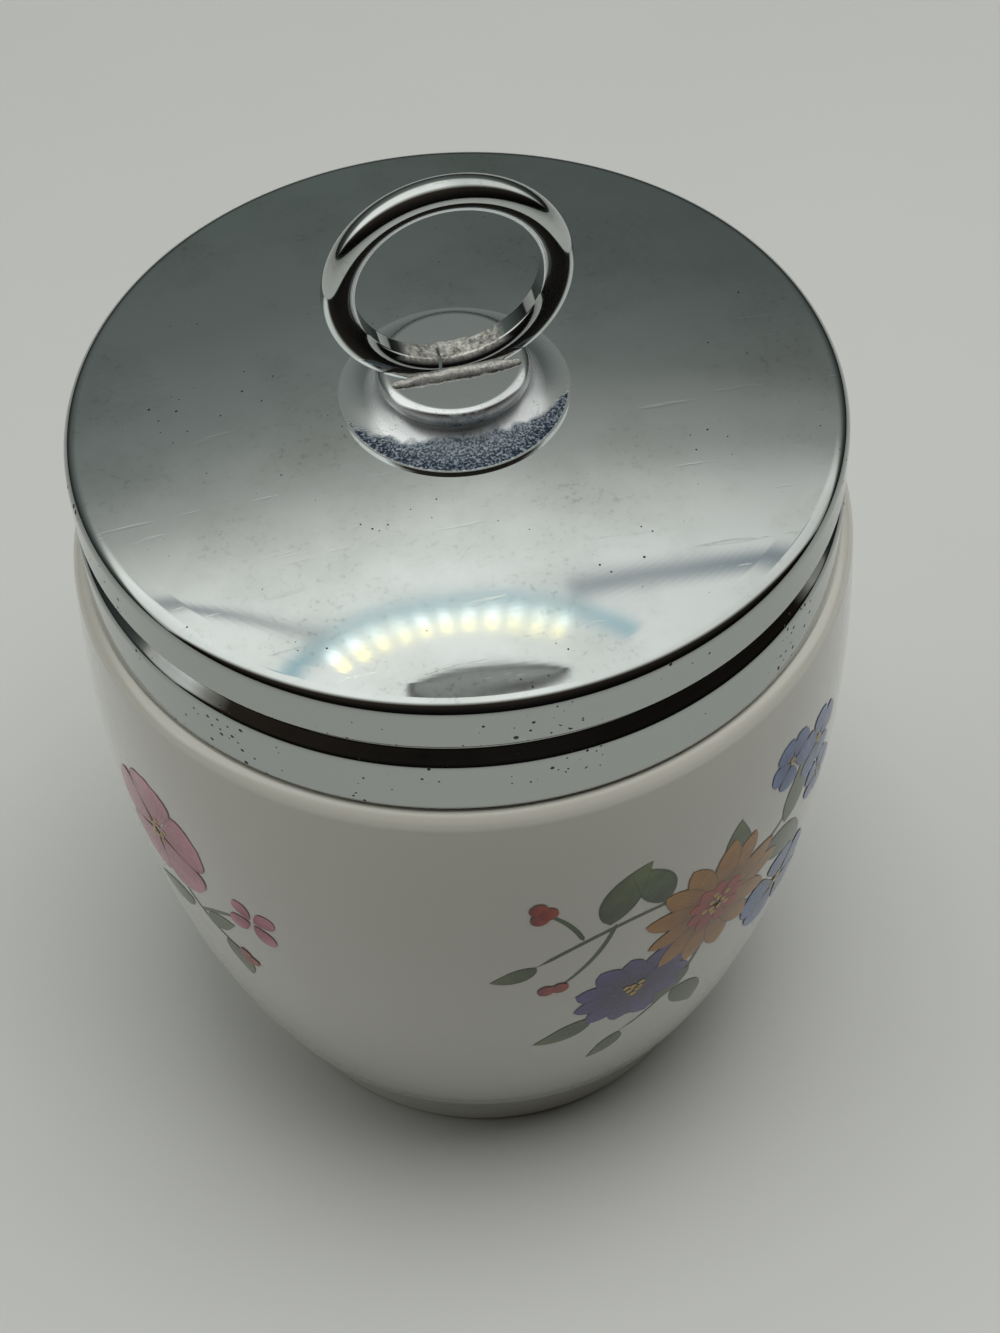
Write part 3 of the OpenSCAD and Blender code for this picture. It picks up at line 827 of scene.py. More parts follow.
def spun_sheet():
    material, tree, shader, place = new_material("spun_tinned_sheet")
    spot = add(tree, "split", place, out=None).outputs
    out = add(tree, "length", add(tree, "combine", spot[0], spot[1]))
    lines = add(tree, "noise", add(tree, "combine", out, spot[2]), grain(SPIN_LINE), 3.0)
    dull = add(tree, "noise", place, grain(SHEET_CLOUD), 3.0)
    fill(shader, {
        "Base Color": add(tree, "blend", dull, "B4B3AC", "97968F"),
        "Roughness": add(tree, "range", lines, 0.3, 0.7, 0.28, 0.46),
        "Normal": add(tree, "bump", lines, 0.02 * MM, 0.5),
        "Metallic": 1.0})
    return material


def natural_rubber():
    material, tree, shader, place = new_material("natural_rubber")
    dust = add(tree, "noise", place, grain(RUBBER_DUST), 4.0)
    fill(shader, {
        "Base Color": add(tree, "blend", dust, "C9B48E", "B39C76"),
        "Normal": add(tree, "bump", dust, 0.03 * MM, 0.6),
        "Roughness": 0.7})
    return material


tinned = spun_sheet()
rubber = natural_rubber()
print("made", tinned.name, "and", rubber.name)

# %% Plate, sleeve, washer and seal
PLATE_SHEET, PLATE_STEP, PLATE_MIDDLE_R = 0.4, 0.3, 19.0
SLEEVE_SHEET = 0.5
FLANGE_R = sleeve_high[0]
SEAL_PLAY = 0.3
SLEEVE_R = seal_high[0] + SEAL_PLAY
plate_top = PLATE_Z + PLATE_SHEET
plate_corners = [
    (FLANGE_R, plate_top, 0),
    (PLATE_MIDDLE_R + PLATE_STEP, plate_top, PLATE_SHEET),
    (PLATE_MIDDLE_R, plate_top + PLATE_STEP, PLATE_SHEET + 0.05),
    (0, plate_top + PLATE_STEP, 0),
]
plate = turned("lining_plate_spun", both_faces(plate_corners, PLATE_SHEET), loop=True)
fit_out(plate, tinned, "lid", "inner_metal", "lining_plate")

sleeve_corners = [
    (FLANGE_R, sleeve_low[2], 0),
    (SLEEVE_R, sleeve_low[2], 2 * SLEEVE_SHEET),
    (SLEEVE_R, sleeve_high[2], 2 * SLEEVE_SHEET),
    (FLANGE_R, sleeve_high[2], 0),
]
sleeve = turned("threaded_sleeve_wall", both_faces(sleeve_corners, -SLEEVE_SHEET), loop=True)
fit_out(sleeve, tinned, "lid", "inner_metal", "threaded_sleeve")

THREAD_SLACK, RIDGE_LIFT = 0.15, 0.05
ROOT_W, CREST_W = 1.9, 0.9   # width of the ridge in the CAD, at its root and its crest
lid_thread_z = THREAD_Z - (ROOT_W + CREST_W) / 2 - THREAD_SLACK
lowest = sleeve_low[2] + SLEEVE_SHEET + ROOT_W / 2 + RIDGE_LIFT
wind("sleeve_thread", SLEEVE_R, -1.0, LID_TURNS, lid_thread_z, (lowest - lid_thread_z) / PITCH, tinned,
     "lid", "inner_metal")

SEAL_W, SEAL_EDGE, LOOP_GAP = 4.4, 0.3, 0.01
SEAL_R = SLEEVE_R - SEAL_PLAY
seal_corners = [
    (SEAL_R - SEAL_W / 2, seal_low[2], 0),
    (SEAL_R, seal_low[2], SEAL_EDGE),
    (SEAL_R, seal_high[2], SEAL_EDGE),
    (SEAL_R - SEAL_W, seal_high[2], SEAL_EDGE),
    (SEAL_R - SEAL_W, seal_low[2], SEAL_EDGE),
    (SEAL_R - LOOP_GAP - SEAL_W / 2, seal_low[2], 0),
]
seal = turned("sealing_ring_rubber", outline(seal_corners), loop=True)
fit_out(seal, rubber, "seal", "seal", "sealing_ring")

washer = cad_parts["backing_washer"]
washer.data.materials.clear()
washer.data.materials.append(tinned)

# %% [markdown]
# ## The printed spray
# The flowers on such a cup are a transfer: printed flat on thin film in ceramic colours, slid on to the
# glaze and fired in. This lesson does the same. Each petal, leaf and stem is a thin blade grown flat by
# one recipe, whose spine is a curve through three points. Then the whole sheet is wrapped on the cup.

# %% The blade recipe
BLADE_ALONG, BLADE_ACROSS = 15, 9
TEETH = 14         # along one side of a toothed leaf
INK = 0.012 * MM   # thickness of one printed layer, thicker than real ink so that it exports cleanly
BLADE_INPUTS = {"Start": tuple, "Bend": tuple, "End": tuple, "Width": float, "Belly": float,
                "Fullness": float, "Teeth": float, "Lift": float, "Material": bpy.types.Material}
blade, given = new_recipe("blade", BLADE_INPUTS)
sheet = add(blade, "GeometryNodeMeshGrid", 1.0, 1.0, BLADE_ALONG, BLADE_ACROSS, out=None)
spot = add(blade, "split", add(blade, "GeometryNodeInputPosition"), out=None).outputs
u = add(blade, "+", spot[0], 0.5)
print_uv = add(blade, "combine", u, add(blade, "+", spot[1], 0.5))
flat_sheet = add(blade, "GeometryNodeStoreNamedAttribute", sheet.outputs[0], data_type="FLOAT2",
                 domain="CORNER", named={"Name": "print", "Value": print_uv})
first_leg = add(blade, "between", u, given["Start"], given["Bend"])
second_leg = add(blade, "between", u, given["Bend"], given["End"])
spine = add(blade, "between", u, first_leg, second_leg)
way = add(blade, "vector", second_leg, first_leg, operation="SUBTRACT")
square = add(blade, "vector", add(blade, "vector", (0.0, 0.0, 1.0), way, operation="CROSS_PRODUCT"),
             operation="NORMALIZE")
swell = add(blade, "*", add(blade, "POWER", u, given["Belly"]), math.pi)
swell = add(blade, "MAXIMUM", add(blade, "SINE", swell), 0.0)
swell = add(blade, "POWER", swell, given["Fullness"])
tooth = add(blade, "SINE", add(blade, "*", u, TEETH * math.pi))
tooth = add(blade, "+", add(blade, "*", tooth, given["Teeth"]), 1.0)
across = add(blade, "*", add(blade, "*", spot[1], given["Width"]), add(blade, "*", swell, tooth))
flat = add(blade, "vector", spine, add(blade, "scaled", square, across), operation="ADD")
flat = add(blade, "vector", flat, add(blade, "combine", 0.0, 0.0, given["Lift"]), operation="ADD")
shape = add(blade, "GeometryNodeSetPosition", flat_sheet, named={"Position": flat})
upwards = add(blade, "combine", 0.0, 0.0, 1.0)
upper = add(blade, "GeometryNodeExtrudeMesh", shape, mode="FACES",
            named={"Offset": upwards, "Offset Scale": INK, "Individual": False})
both = add(blade, "GeometryNodeJoinGeometry", upper, out=None)
fill(both, {0: add(blade, "GeometryNodeFlipFaces", shape)})
solid = add(blade, "GeometryNodeMergeByDistance", both.outputs[0], named={"Distance": INK / 10})
put_out(blade, solid, given["Material"])

# %% [markdown]
# ## Flowers
# A flower is one blade repeated round a point, each petal turned, a little larger or smaller than the
# last, and printed over its neighbour. The recipe uses the blade recipe as a single node and places it
# with instances, which are made real at the end.

# %% The flower recipe
flower, given = new_recipe("flower", {**BLADE_INPUTS, "Petals": int, "Inner": float, "Seed": int})
petal = add(flower, "GeometryNodeGroup", node_tree=blade, out=None)
fill(petal, {key: given[key] for key in BLADE_INPUTS})
spots = add(flower, "GeometryNodeMeshCircle", given["Petals"], given["Inner"])
number = add(flower, "GeometryNodeInputIndex")
share = add(flower, "/", number, given["Petals"])
jitter = add(flower, "FunctionNodeRandomValue", data_type="FLOAT", out=1,
             named={2: -0.09, 3: 0.09, "Seed": given["Seed"]})
heading = add(flower, "+", add(flower, "*", share, math.tau), jitter)
size = add(flower, "FunctionNodeRandomValue", data_type="FLOAT", out=1,
           named={2: 0.9, 3: 1.06, "Seed": add(flower, "+", given["Seed"], 7)})
size = add(flower, "combine", size, size, 1.0)
layer = add(flower, "combine", 0.0, 0.0, add(flower, "*", share, INK))
spots = add(flower, "GeometryNodeSetPosition", spots, named={"Offset": layer})
heading = add(flower, "combine", 0.0, 0.0, heading)
bloom = add(flower, "GeometryNodeInstanceOnPoints", spots,
            named={"Instance": petal.outputs[0], "Scale": size, "Rotation": heading})
put_out(flower, bloom, given["Material"])

# %% [markdown]
# ## Ceramic colours
# Printed ceramic colours are dots and fine lines over a wash, with a darker line round each shape. Each
# colour here reads the blade's own print map: how far along it is and how far across. The wash runs from
# base to tip, veins fan out as thin lines, and the rim is drawn dark. All of it lies under the glaze's
# shine, so the finish is much like the porcelain's, only less mirror-like.

# %% Make the colours
WASH_CLOUD = 2.2   # mm from cloud to cloud in the wash
RIM_INK = 0.55     # strength of the line round a shape


def ceramic_colour(name, base, tip, line, veins=7, vein_ink=0.5):
    """A colour that goes from base to tip, with the line's colour in its veins and round its rim."""
    material, tree, shader, place = new_material(name)
    where = add(tree, "ShaderNodeUVMap", uv_map="print")
    spot = add(tree, "split", where, out=None).outputs
    off = add(tree, "ABSOLUTE", add(tree, "-", spot[1], 0.5))
    cloud = add(tree, "noise", place, grain(WASH_CLOUD), 3.0)
    wash = add(tree, "+", spot[0], add(tree, "range", cloud, 0.3, 0.7, -0.22, 0.22), use_clamp=True)
    colour = add(tree, "blend", wash, base, tip)
    fan = add(tree, "SINE", add(tree, "*", spot[1], veins * math.pi))
    fan = add(tree, "-", add(tree, "ABSOLUTE", fan), 1.0)
    vein = add(tree, "range", add(tree, "ABSOLUTE", fan), 0.55, 0.95, 0.0, vein_ink)
    fade = add(tree, "range", spot[0], 0.25, 0.95, 1.0, 0.1)
    vein = add(tree, "*", vein, fade)
    rim = add(tree, "MAXIMUM", off, add(tree, "*", add(tree, "-", spot[0], 0.55), 0.95))
    rim = add(tree, "range", rim, 0.41, 0.47, 0.0, RIM_INK)
    ink = add(tree, "MAXIMUM", vein, rim)
    fill(shader, {
        "Base Color": add(tree, "blend", ink, colour, line),
        "Roughness": 0.22, "Specular IOR Level": 0.3, "Coat Weight": 0.25, "Coat Roughness": 0.04})
    return material


gold = ceramic_colour("print_gold", "7C4604", "C08218", "462804")
violet = ceramic_colour("print_violet", "241645", "55438C", "150E2C")
blue = ceramic_colour("print_blue", "213F7A", "5A7CBC", "142650", veins=5)
rose = ceramic_colour("print_rose", "A83452", "DD8CA0", "7C2038")
scarlet = ceramic_colour("print_scarlet", "7E1C12", "BE4028", "4C100C", veins=3, vein_ink=0.3)
green = ceramic_colour("print_green", "35452A", "6E7D4C", "1E2A16", veins=9, vein_ink=0.45)
stalk = ceramic_colour("print_stalk", "3E4C2C", "58693E", "2A3620", veins=1, vein_ink=0.1)
eye = ceramic_colour("print_eye", "E0BE4C", "B88820", "6A4812", veins=3, vein_ink=0.2)
print("eight ceramic colours")

# %% [markdown]
# ## Laying out the sheet
# Three small functions draw on the sheet, in millimetres from the middle of the spray: a stem between
# two places, a leaf, and a flower with its eye. The layers are printed in order, stems first, so that
# nothing lies in the same place.

# %% Draw on the sheet
STEM_LIFT, LEAF_LIFT, PETAL_LIFT, EYE_LIFT = (PRINT_ROOM * MM * share for share in (0.1, 0.3, 0.5, 0.8))
STEM_W, EYE_R = 0.42, 0.3   # width of a stem, and radius of the bare middle of a flower
TOOTH = 0.07                # height of a leaf's tooth as a share of its half width


def point(x, y):
    return (x * MM, y * MM, 0.0)


def stem(start, bend, end):
    return grow(blade, Start=point(*start), Bend=point(*bend), End=point(*end), Width=STEM_W * MM,
                Belly=0.5, Fullness=0.25, Teeth=0.0, Lift=STEM_LIFT, Material=stalk)


def leaf(start, heading, length, width, curl=0.18):
    """A leaf from its foot, heading in degrees, with its spine curled to one side."""
    a = math.radians(heading)
    along, side = Vector((math.cos(a), math.sin(a))), Vector((-math.sin(a), math.cos(a)))
    foot = Vector(start)
    bend = foot + along * length * 0.5 + side * length * curl
    return grow(blade, Start=point(*foot), Bend=point(*bend), End=point(*(foot + along * length)),
                Width=width * MM, Belly=0.8, Fullness=0.85, Teeth=TOOTH, Lift=LEAF_LIFT, Material=green)


def bloom_at(centre, petals, length, width, colour, belly=1.6, fullness=0.6, turn=0.0, seed=1,
             lift=PETAL_LIFT):
    """A flower at a place, from the recipe, turned by some degrees."""
    mesh = grow(flower, Start=point(0, 0), Bend=point(length / 2, 0), End=point(length, 0),
                Width=width * MM, Belly=belly, Fullness=fullness, Teeth=0.0, Lift=lift, Material=colour,
                Petals=petals, Inner=EYE_R * MM, Seed=seed)
    mesh.transform(Matrix.Translation(point(*centre)) @ Matrix.Rotation(math.radians(turn), 4, "Z"))
    return mesh


def dots(centre, count, spread, size, colour, seed=3):
    """Small round marks scattered round a place, such as stamens or berries."""
    chance = random.Random(seed)
    marks = []
    for i in range(count):
        a = math.tau * i / count + chance.uniform(-0.2, 0.2)
        far = spread * (0.55 + 0.45 * (i % 2)) * chance.uniform(0.85, 1.0)
        x, y = centre[0] + far * math.cos(a), centre[1] + far * math.sin(a)
        marks.append(grow(blade, Start=point(x - size / 2, y), Bend=point(x, y),
                          End=point(x + size / 2, y), Width=size * MM, Belly=1.0, Fullness=0.5,
                          Teeth=0.0, Lift=EYE_LIFT, Material=colour))
    return marks


print("ink layers from", round(STEM_LIFT / MM, 3), "to", round(EYE_LIFT / MM, 3), "mm")

# %% [markdown]
# ## Wrapping the sheet
# The last recipe is the bath of water that lets the transfer slide on to the cup. Each point's distance
# across becomes an angle, its height stays, and its lift stands it off the body's ellipse.

# %% The wrap recipe
wrap, given = new_recipe("wrap_on_body", {"Geometry": bpy.types.Mesh, "Angle": float, "Height": float})
spot = add(wrap, "split", add(wrap, "GeometryNodeInputPosition"), out=None).outputs
height = add(wrap, "+", spot[1], given["Height"])
share = add(wrap, "/", add(wrap, "-", height, WIDEST_Z * MM), BODY_SPAN * MM)
share = add(wrap, "-", 1.0, add(wrap, "*", share, share))
radius = add(wrap, "*", add(wrap, "SQRT", share), BODY_R * MM)
radius = add(wrap, "-", radius, PRINT_ROOM * MM)
angle = add(wrap, "+", add(wrap, "/", spot[0], radius), given["Angle"])
radius = add(wrap, "+", radius, spot[2])
wrapped = add(wrap, "combine", add(wrap, "*", radius, add(wrap, "COSINE", angle)),
              add(wrap, "*", radius, add(wrap, "SINE", angle)), height)
moved = add(wrap, "GeometryNodeSetPosition", given["Geometry"], named={"Position": wrapped})
add(wrap, "NodeGroupOutput", moved, out=None)
print("the recipe", wrap.name, "has", len(wrap.nodes), "nodes")


def transfer(name, parts, degrees, height, size=1.0):
    """Join the parts of a spray and wrap it on the cup, its middle at an angle and a height in mm."""
    materials = list(dict.fromkeys(part.materials[0] for part in parts))
    bm = bmesh.new()
    for part in parts:
        first = len(bm.faces)
        bm.from_mesh(part)
        bm.faces.ensure_lookup_table()
        for face in bm.faces[first:]:
            face.material_index = materials.index(part.materials[0])
    bmesh.ops.scale(bm, vec=(size, size, 1.0), verts=bm.verts)
    flat_mesh = mesh_of(bm, outwards=False)
    for material in materials:
        flat_mesh.materials.append(material)
    mesh = baked(wrap, flat_mesh, {"Angle": math.radians(degrees), "Height": height * MM})
    fit_out(new_object(name, mesh), None, "cup", "porcelain")


# %% [markdown]
# ## The sprays
# The cup carries one large spray at the front right, a smaller one at the left and a sprig at the back.
# The flowers are plain garden kinds: a golden daisy, violets, forget-me-nots, a dog rose and red berries.
# A spray's place is an angle round the cup, counted from +X, and a height.

# %% Front spray
front_parts = [
    stem((-14.5, 4.0), (-7, 9.5), (0.5, 6.0)), stem((0, 5), (7, 4), (12.5, 10.5)),
    stem((0.5, 5.5), (1.0, -6), (-6.5, -11.5)), stem((1, 3), (6, -4), (13.5, -7.5)),
    stem((-11, 6.4), (-12, 9.5), (-14, 11.0)), stem((-8.5, 7.4), (-9.5, 3.5), (-12.5, 0.5)),
    leaf((-9.0, 7.5), 62, 7.0, 3.3), leaf((-4.5, 7.6), 118, 6.2, 3.0, curl=-0.2),
    leaf((5.5, 4.4), -38, 7.6, 3.6), leaf((-1.0, -5.0), 205, 6.8, 3.2), leaf((-2.2, -8.0), -62, 6.0, 2.8),
    leaf((8.2, 5.6), 72, 6.4, 3.1, curl=-0.15), leaf((3.0, 6.5), 95, 5.6, 2.8),
    leaf((-9.5, -6.5), 215, 5.2, 2.4), leaf((-14.5, 4.0), 205, 3.8, 1.8),
    leaf((-6.5, -11.5), 240, 4.2, 1.9), leaf((11.0, -6.5), -25, 5.0, 2.4, curl=-0.2),
    bloom_at((0.6, 3.0), 13, 6.6, 2.5, gold, belly=1.3, fullness=0.7, seed=4),
    bloom_at((0.6, 3.0), 9, 2.6, 1.4, scarlet, seed=9, lift=EYE_LIFT - INK),
    bloom_at((9.0, -3.6), 5, 4.4, 4.2, blue, belly=1.9, fullness=0.6, turn=18, seed=2),
    bloom_at((-6.2, -3.8), 11, 5.0, 2.5, violet, belly=1.5, fullness=0.65, turn=60, seed=5,
             lift=LEAF_LIFT + INK),
    bloom_at((12.8, 11.2), 5, 2.9, 2.7, blue, belly=1.7, fullness=0.5, turn=10, seed=6),
    bloom_at((8.4, 13.2), 5, 2.4, 2.3, blue, belly=1.7, fullness=0.5, turn=44, seed=7),
    bloom_at((13.6, 6.0), 5, 2.3, 2.2, blue, belly=1.7, fullness=0.5, turn=70, seed=8),
    *dots((0.6, 3.0), 10, 1.3, 0.55, eye), *dots((9.0, -3.6), 5, 0.6, 0.7, eye),
    *dots((-6.2, -3.8), 7, 0.9, 0.6, eye), *dots((12.8, 11.2), 3, 0.3, 0.6, eye),
    *dots((8.4, 13.2), 3, 0.25, 0.5, eye), *dots((13.6, 6.0), 3, 0.25, 0.5, eye),
    *dots((-14.2, 11.0), 3, 0.9, 1.5, scarlet, seed=2), *dots((-12.9, 0.2), 2, 0.7, 1.4, scarlet, seed=5),
]
FRONT, BACK = -90, 90
transfer("front_spray", front_parts, degrees=FRONT + 25, height=40, size=1.2)

# %% Left spray and back sprig
left_parts = [
    stem((6.5, -8.5), (1.5, -6.5), (-1.0, 0.5)), stem((2.2, -5.6), (5.5, -2.5), (8.5, -1.5)),
    leaf((4.6, -7.8), -72, 5.0, 2.4), leaf((1.2, -5.2), 196, 5.6, 2.7), leaf((3.2, -6.8), 40, 4.4, 2.1),
    bloom_at((-1.4, 2.4), 5, 6.0, 5.9, rose, belly=2.0, fullness=0.55, turn=20, seed=3),
    bloom_at((9.0, -1.2), 4, 2.6, 1.9, rose, belly=1.3, turn=35, seed=6),
    *dots((-1.4, 2.4), 11, 1.3, 0.6, eye), *dots((6.9, -9.0), 3, 0.8, 1.3, scarlet, seed=8),
]
transfer("left_spray", left_parts, degrees=FRONT - 64, height=46, size=1.1)

back_parts = [
    stem((-9, -6), (-1, -5), (4, 4)), stem((-2.6, -4.3), (2.5, -5), (8, -2.5)),
    leaf((-6.0, -5.6), 100, 6.2, 3.0), leaf((-3.0, -4.4), -60, 6.0, 2.9), leaf((2.4, 0.6), 20, 5.6, 2.6),
    bloom_at((4.6, 5.4), 5, 4.6, 4.4, rose, belly=1.9, fullness=0.6, turn=5, seed=11),
    bloom_at((-8.6, 2.0), 5, 3.8, 3.6, violet, belly=1.9, fullness=0.6, turn=40, seed=12),
    bloom_at((9.0, -2.2), 5, 2.4, 2.3, blue, belly=1.7, fullness=0.5, turn=15, seed=13),
    stem((-6.5, -5.6), (-9.6, -2), (-8.6, 1.0)),
    *dots((4.6, 5.4), 9, 1.1, 0.55, eye), *dots((-8.6, 2.0), 5, 0.5, 0.6, eye),
    *dots((9.0, -2.2), 3, 0.25, 0.5, eye), *dots((-9.6, -6.2), 3, 0.8, 1.3, scarlet, seed=4),
]
transfer("back_sprig", back_parts, degrees=BACK + 15, height=44)

# %% [markdown]
# ## The stage
# A mirror shows the room more than itself, so the room comes first. The photo was taken in a small white
# tent: a pale floor, grey walls that brighten towards the roof, and an open front on to a dark room, which
# draws the dark lines round the edges of the metal. The world is that tent. It is a ramp over one angle,
# from the foot of the back wall (0) over the roof (90) to the foot of the open front (180). The camera
# sees a plain grey in its place. The floor is darker to diffuse light than to the camera and to mirrors.

# %% Floor and tent
TENT = [(30, "59605D"), (38, "616765"), (45, "7A7E7B"), (50, "A4A6A2"), (53, "D3D4D0"), (57, "F4F6F2"),
        (93, "FCFEFC"), (105, "A0A09A"), (115, "322C27"), (150, "1A1817")]
TENT_GLOW = 1.2
TENT_LOW, TENT_CLEAR = 0.12, 0.45   # share of light from the foot of the walls, and the sine of the
                                    # angle above which they give all of it
TENT_RIGHT = 0.75                   # share of light from the right side, which is further from the lamp
CARD_CLOUD = 60.0                   # mm from one faint change of tone of the floor to the next


def floor_card():
    material, tree, shader, place = new_material("pale_card")
    fibre = add(tree, "noise", place, grain(CARD_CLOUD), 3.0)
    card = add(tree, "blend", fibre, "CDCECB", "C8C9C6")
    rays = add(tree, "ShaderNodeLightPath", out=None).outputs
    seen = add(tree, "+", rays["Is Camera Ray"], rays["Is Glossy Ray"])
    seen = add(tree, "+", seen, rays["Is Transmission Ray"], use_clamp=True)
    fill(shader, {
        "Base Color": add(tree, "blend", seen, "A6A7A4", card),
        "Roughness": 0.55, "Specular IOR Level": 0.3})
    return material


FLOOR_HALF, FLOOR_LEVEL = 1.5, -0.02   # half its width, m, and its height, mm
floor_mesh = bpy.data.meshes.new("floor")
floor_mesh.from_pydata([(x * FLOOR_HALF, y * FLOOR_HALF, FLOOR_LEVEL * MM)
                        for x, y in ((-1, -1), (1, -1), (1, 1), (-1, 1))], [], [(0, 1, 2, 3)])
floor_mesh.materials.append(floor_card())
placed("floor", floor_mesh)

tent = bpy.data.worlds.new("photo_tent")
bpy.context.scene.world = tent
tent.use_nodes = True
tree = tent.node_tree
tree.nodes.clear()
way = add(tree, "split", add(tree, "ShaderNodeTexCoord"), out=None).outputs
over = add(tree, "ARCTAN2", way[2], way[1])
ramp = add(tree, "ShaderNodeValToRGB", add(tree, "/", over, math.pi), out=None)
ramp.color_ramp.elements.remove(ramp.color_ramp.elements[1])
for i, (degrees, colour) in enumerate(TENT):
    stops = ramp.color_ramp.elements
    stop = stops.new(degrees / 180) if i else stops[0]
    stop.position = degrees / 180
    stop.color = linear(colour)
seen = add(tree, "ShaderNodeLightPath", out="Is Camera Ray")
shade = add(tree, "range", way[2], 0.0, TENT_CLEAR, TENT_LOW, 1.0)
shade = add(tree, "*", shade, add(tree, "range", way[0], 0.1, 0.35, 1.0, TENT_RIGHT))
lit = add(tree, "scaled", ramp.outputs[0], shade)
walls = add(tree, "blend", seen, lit, "C4C6C4")
glow = add(tree, "ShaderNodeBackground", walls, TENT_GLOW)
add(tree, "ShaderNodeOutputWorld", glow, out=None)
print("the tent has", len(ramp.color_ramp.elements), "stops")

# %% [markdown]
# ## The ring light
# Under the roof hangs a flat ring lamp. The lid shows an arc of bright blobs, which are its LEDs, with a
# blue halo, and a grey ellipse with a dark rim, which is the hole in its middle, squeezed by the lid's
# edge. Two seams of the tent cross behind it as grey bands. Sizes are in mm, angles in degrees.

# %% Shapes under the roof
LAMP_Z = 500.0
LED_CENTRE, LED_R = (25.0, 120.0), 104.0
LED_FIRST, LED_STEP, LED_COUNT = 57.0, 5.95, 11
LED_LONG, LED_WIDE, LED_GLOW = 7.0, 2.7, 2.6   # half its length and half its width, and its strength
HALO_R, HALO_REACH, HALO_FIRST, HALO_LAST = 117.0, 12.0, 40.0, 150.0
HALO_UP, SEAM_UP = 2.0, 4.0   # mm above the lamp, so that nothing lies in one plane
HOLE_CENTRE, HOLE_SIZE, HOLE_TILT, HOLE_RIM = (42.0, 179.0), (35.0, 7.0), -7.0, 3.4


def glowing(name, colour, strength=1.0, fade=None):
    """A material that gives light. fade makes its share from the place under the roof."""
    material = bpy.data.materials.new(name)
    material.use_nodes = True
    tree = material.node_tree
    tree.nodes.clear()
    glow = add(tree, "ShaderNodeEmission", colour, strength)
    if fade:
        spot = add(tree, "split", add(tree, "ShaderNodeTexCoord", out=3), out=None).outputs
        clear = add(tree, "ShaderNodeBsdfTransparent")
        glow = add(tree, "ShaderNodeMixShader", fade(tree, spot), clear, glow)
    add(tree, "ShaderNodeOutputMaterial", glow, out=None)
    return material


def flat_shape(name, faces, material, higher=0.0):
    """A stage piece under the roof, from faces that are lists of (x, y) in mm."""
    corners = [(x * MM, y * MM, (LAMP_Z + higher) * MM) for face in faces for x, y in face]
    sides = len(faces[0])
    mesh = bpy.data.meshes.new(name)
    mesh.from_pydata(corners, [], [range(i * sides, (i + 1) * sides) for i in range(len(faces))])
    mesh.materials.append(material)
    obj = placed(name, mesh)
    obj.visible_diffuse = obj.visible_camera = False


def band(centre, inner, outer, first=0.0, last=360.0, tilt=0.0, steps=96):
    """Faces of a flat ring, or a part of one, between two ellipses given as (across, deep)."""
    spin = Matrix.Rotation(math.radians(tilt), 2)
    turns = [math.radians(first + (last - first) * step / steps) for step in range(steps + 1)]
    return [[tuple(Vector(centre) + spin @ Vector((size[0] * math.cos(a), size[1] * math.sin(a))))
             for size, a in ((inner, here), (outer, here), (outer, there), (inner, there))]
            for here, there in zip(turns, turns[1:])]


def round_fade(tree, spot):
    """Full at HALO_R from the lamp's centre, nothing HALO_REACH nearer or further."""
    x, y = (add(tree, "-", spot[i], LED_CENTRE[i] * MM) for i in (0, 1))
    away = add(tree, "length", add(tree, "combine", x, y))
    off = add(tree, "ABSOLUTE", add(tree, "-", away, HALO_R * MM))
    return add(tree, "range", off, 0.0, HALO_REACH * MM, 0.9, 0.0, interpolation_type="SMOOTHSTEP")


def line_fade(start, slope, reach):
    """Full on the line y = start + slope x, in mm, and nothing at reach from it."""
    def fade(tree, spot):
        line = add(tree, "MULTIPLY_ADD", spot[0], slope, start * MM)
        off = add(tree, "ABSOLUTE", add(tree, "-", spot[1], line))
        return add(tree, "range", off, 0.0, reach * MM, 0.85, 0.0, interpolation_type="SMOOTHSTEP")
    return fade


print("shapes hang", LAMP_Z, "mm up")

# %% Hang the ring light
HALF_LED = math.degrees(LED_WIDE / LED_R)
for tone, near, far in (("FFF3B4", LED_R - LED_LONG, LED_R), ("ECFCFF", LED_R, LED_R + LED_LONG)):
    leds = []
    for i in range(LED_COUNT):
        at = LED_FIRST + i * LED_STEP
        leds += band(LED_CENTRE, (near, near), (far, far), at - HALF_LED, at + HALF_LED, steps=2)
    flat_shape("led_row_" + tone, leds, glowing("led_" + tone, tone, LED_GLOW))
halo = band(LED_CENTRE, [HALO_R - HALO_REACH] * 2, [HALO_R + HALO_REACH] * 2, HALO_FIRST, HALO_LAST)
flat_shape("led_halo", halo, glowing("led_halo", "A9CFDA", fade=round_fade), HALO_UP)
grown = [size + HOLE_RIM for size in HOLE_SIZE]
flat_shape("lamp_hole_rim", band(HOLE_CENTRE, HOLE_SIZE, grown, tilt=HOLE_TILT), glowing("rim", "080808"))
flat_shape("lamp_hole", band(HOLE_CENTRE, (0.1, 0.1), HOLE_SIZE, tilt=HOLE_TILT), glowing("hole", "A0A29F"))
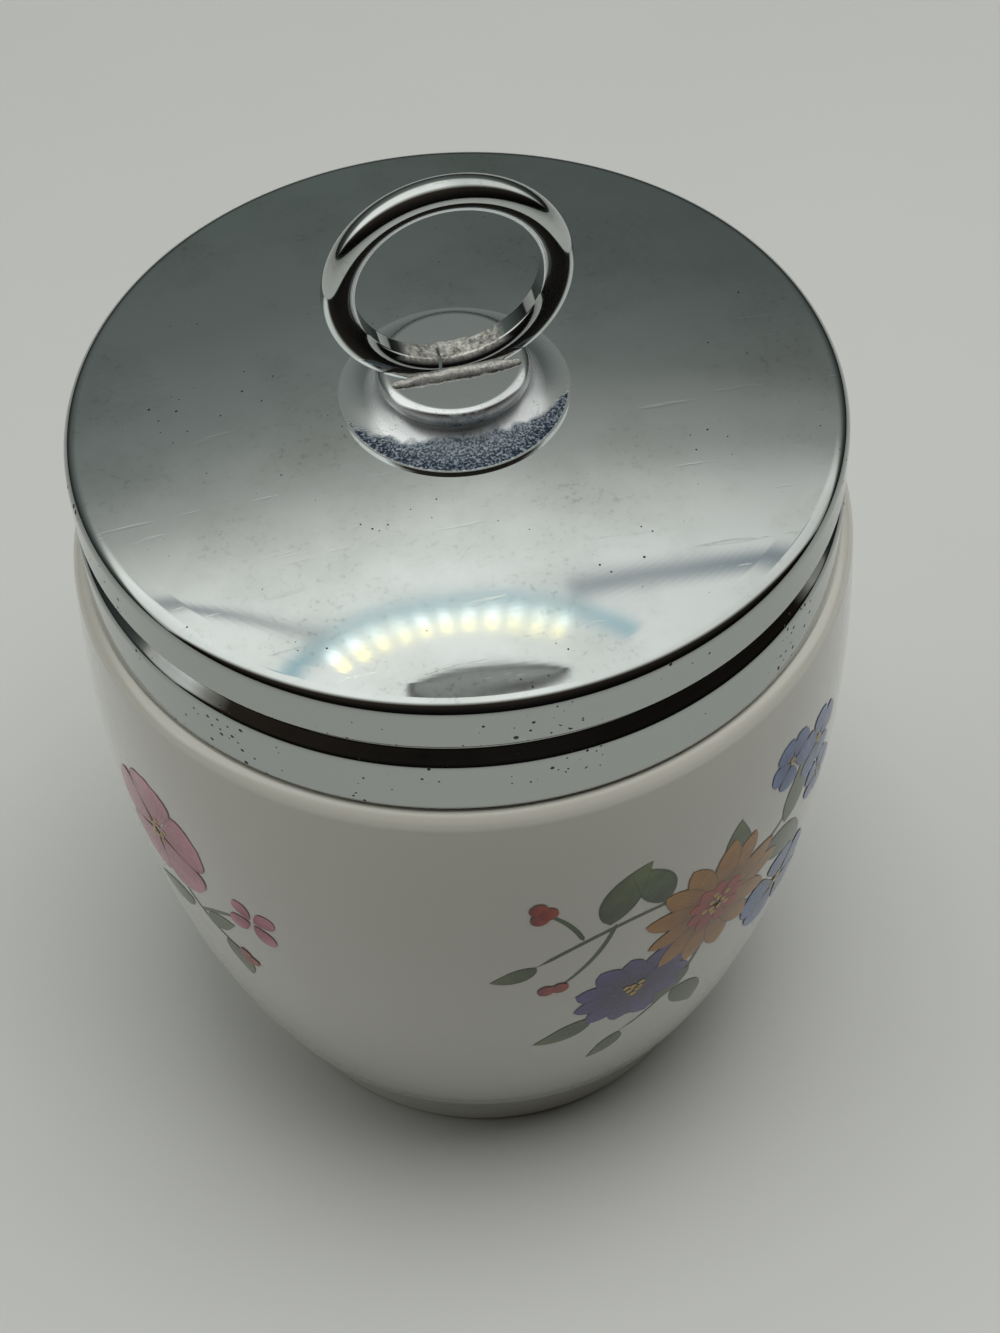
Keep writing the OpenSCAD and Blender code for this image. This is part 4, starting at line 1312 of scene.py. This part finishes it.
# Corners, colour, and the start, slope and reach of each seam's middle line.
SEAMS = {
    "right": ([(92, 208), (260, 208), (260, 262), (92, 262)], "7F8B95", line_fade(225, 0.09, 14)),
    "left": ([(-22, 210), (-22, 250), (-130, 330), (-130, 290)], "8E989E", line_fade(213, -0.78, 8)),
}
for side, (corners, tone, fade) in SEAMS.items():
    flat_shape("tent_seam_" + side, [corners], glowing("seam_" + side, tone, fade=fade), SEAM_UP)
print("the ring light has", LED_COUNT, "LEDs in sight")

# %% A key light for the floor
KEY_PLACE, KEY_AIM = Vector((0.06, -0.1, 0.7)), Vector((0.06, -0.11, 0.0))   # m
key_light = bpy.data.lights.new("floor_key", "AREA")
key_light.size, key_light.energy = 0.35, 2.2   # m and W
key = placed("floor_key", key_light)
key.location = KEY_PLACE
key.rotation_euler = (KEY_AIM - KEY_PLACE).to_track_quat("-Z", "Y").to_euler()
key.visible_glossy = False   # the lid shows the tent and the ring lamp only
print("one key light overhead")

# %% [markdown]
# ## The camera
# The camera stands where the photographer stood: close, above, and a few degrees to the left of square
# on to the ring. Its lens comes from the photo's frame, which is 1333 pixels tall on a 36 mm sensor side.

# %% Place the camera
FOCAL_PIXELS, FRAME_PIXELS, SENSOR = 3000.0, 1333.0, 36.0   # the last in mm
CAMERA_BACK, CAMERA_HEIGHT = 183.7, 264.7   # mm from the axis and above the table
CAMERA_TURN = math.radians(-10.6)           # round the axis from square on to the ring
PITCH_DOWN, YAW, ROLL = 0.874, 0.015, -0.048   # radians

camera_data = bpy.data.cameras.new("camera")
camera_data.sensor_width = SENSOR
camera_data.lens = FOCAL_PIXELS / FRAME_PIXELS * SENSOR
camera_data.clip_start = 0.01
camera = placed("camera", camera_data)
look = Vector((math.sin(YAW) * math.cos(PITCH_DOWN), math.cos(YAW) * math.cos(PITCH_DOWN),
               -math.sin(PITCH_DOWN)))
level = look.cross(Vector((0, 0, 1))).normalized()
rising = level.cross(look)
right = level * math.cos(ROLL) + rising * math.sin(ROLL)
upright = rising * math.cos(ROLL) - level * math.sin(ROLL)
aim = Matrix((right, upright, -look)).transposed().to_4x4()
stand = Matrix.Translation((0, -CAMERA_BACK * MM, CAMERA_HEIGHT * MM))
camera.matrix_world = Matrix.Rotation(CAMERA_TURN, 4, "Z") @ stand @ aim
bpy.context.scene.camera = camera
bpy.context.scene.view_settings.view_transform = "Standard"
print("lens", round(camera_data.lens, 1), "mm at", [round(v, 3) for v in camera.matrix_world.translation])
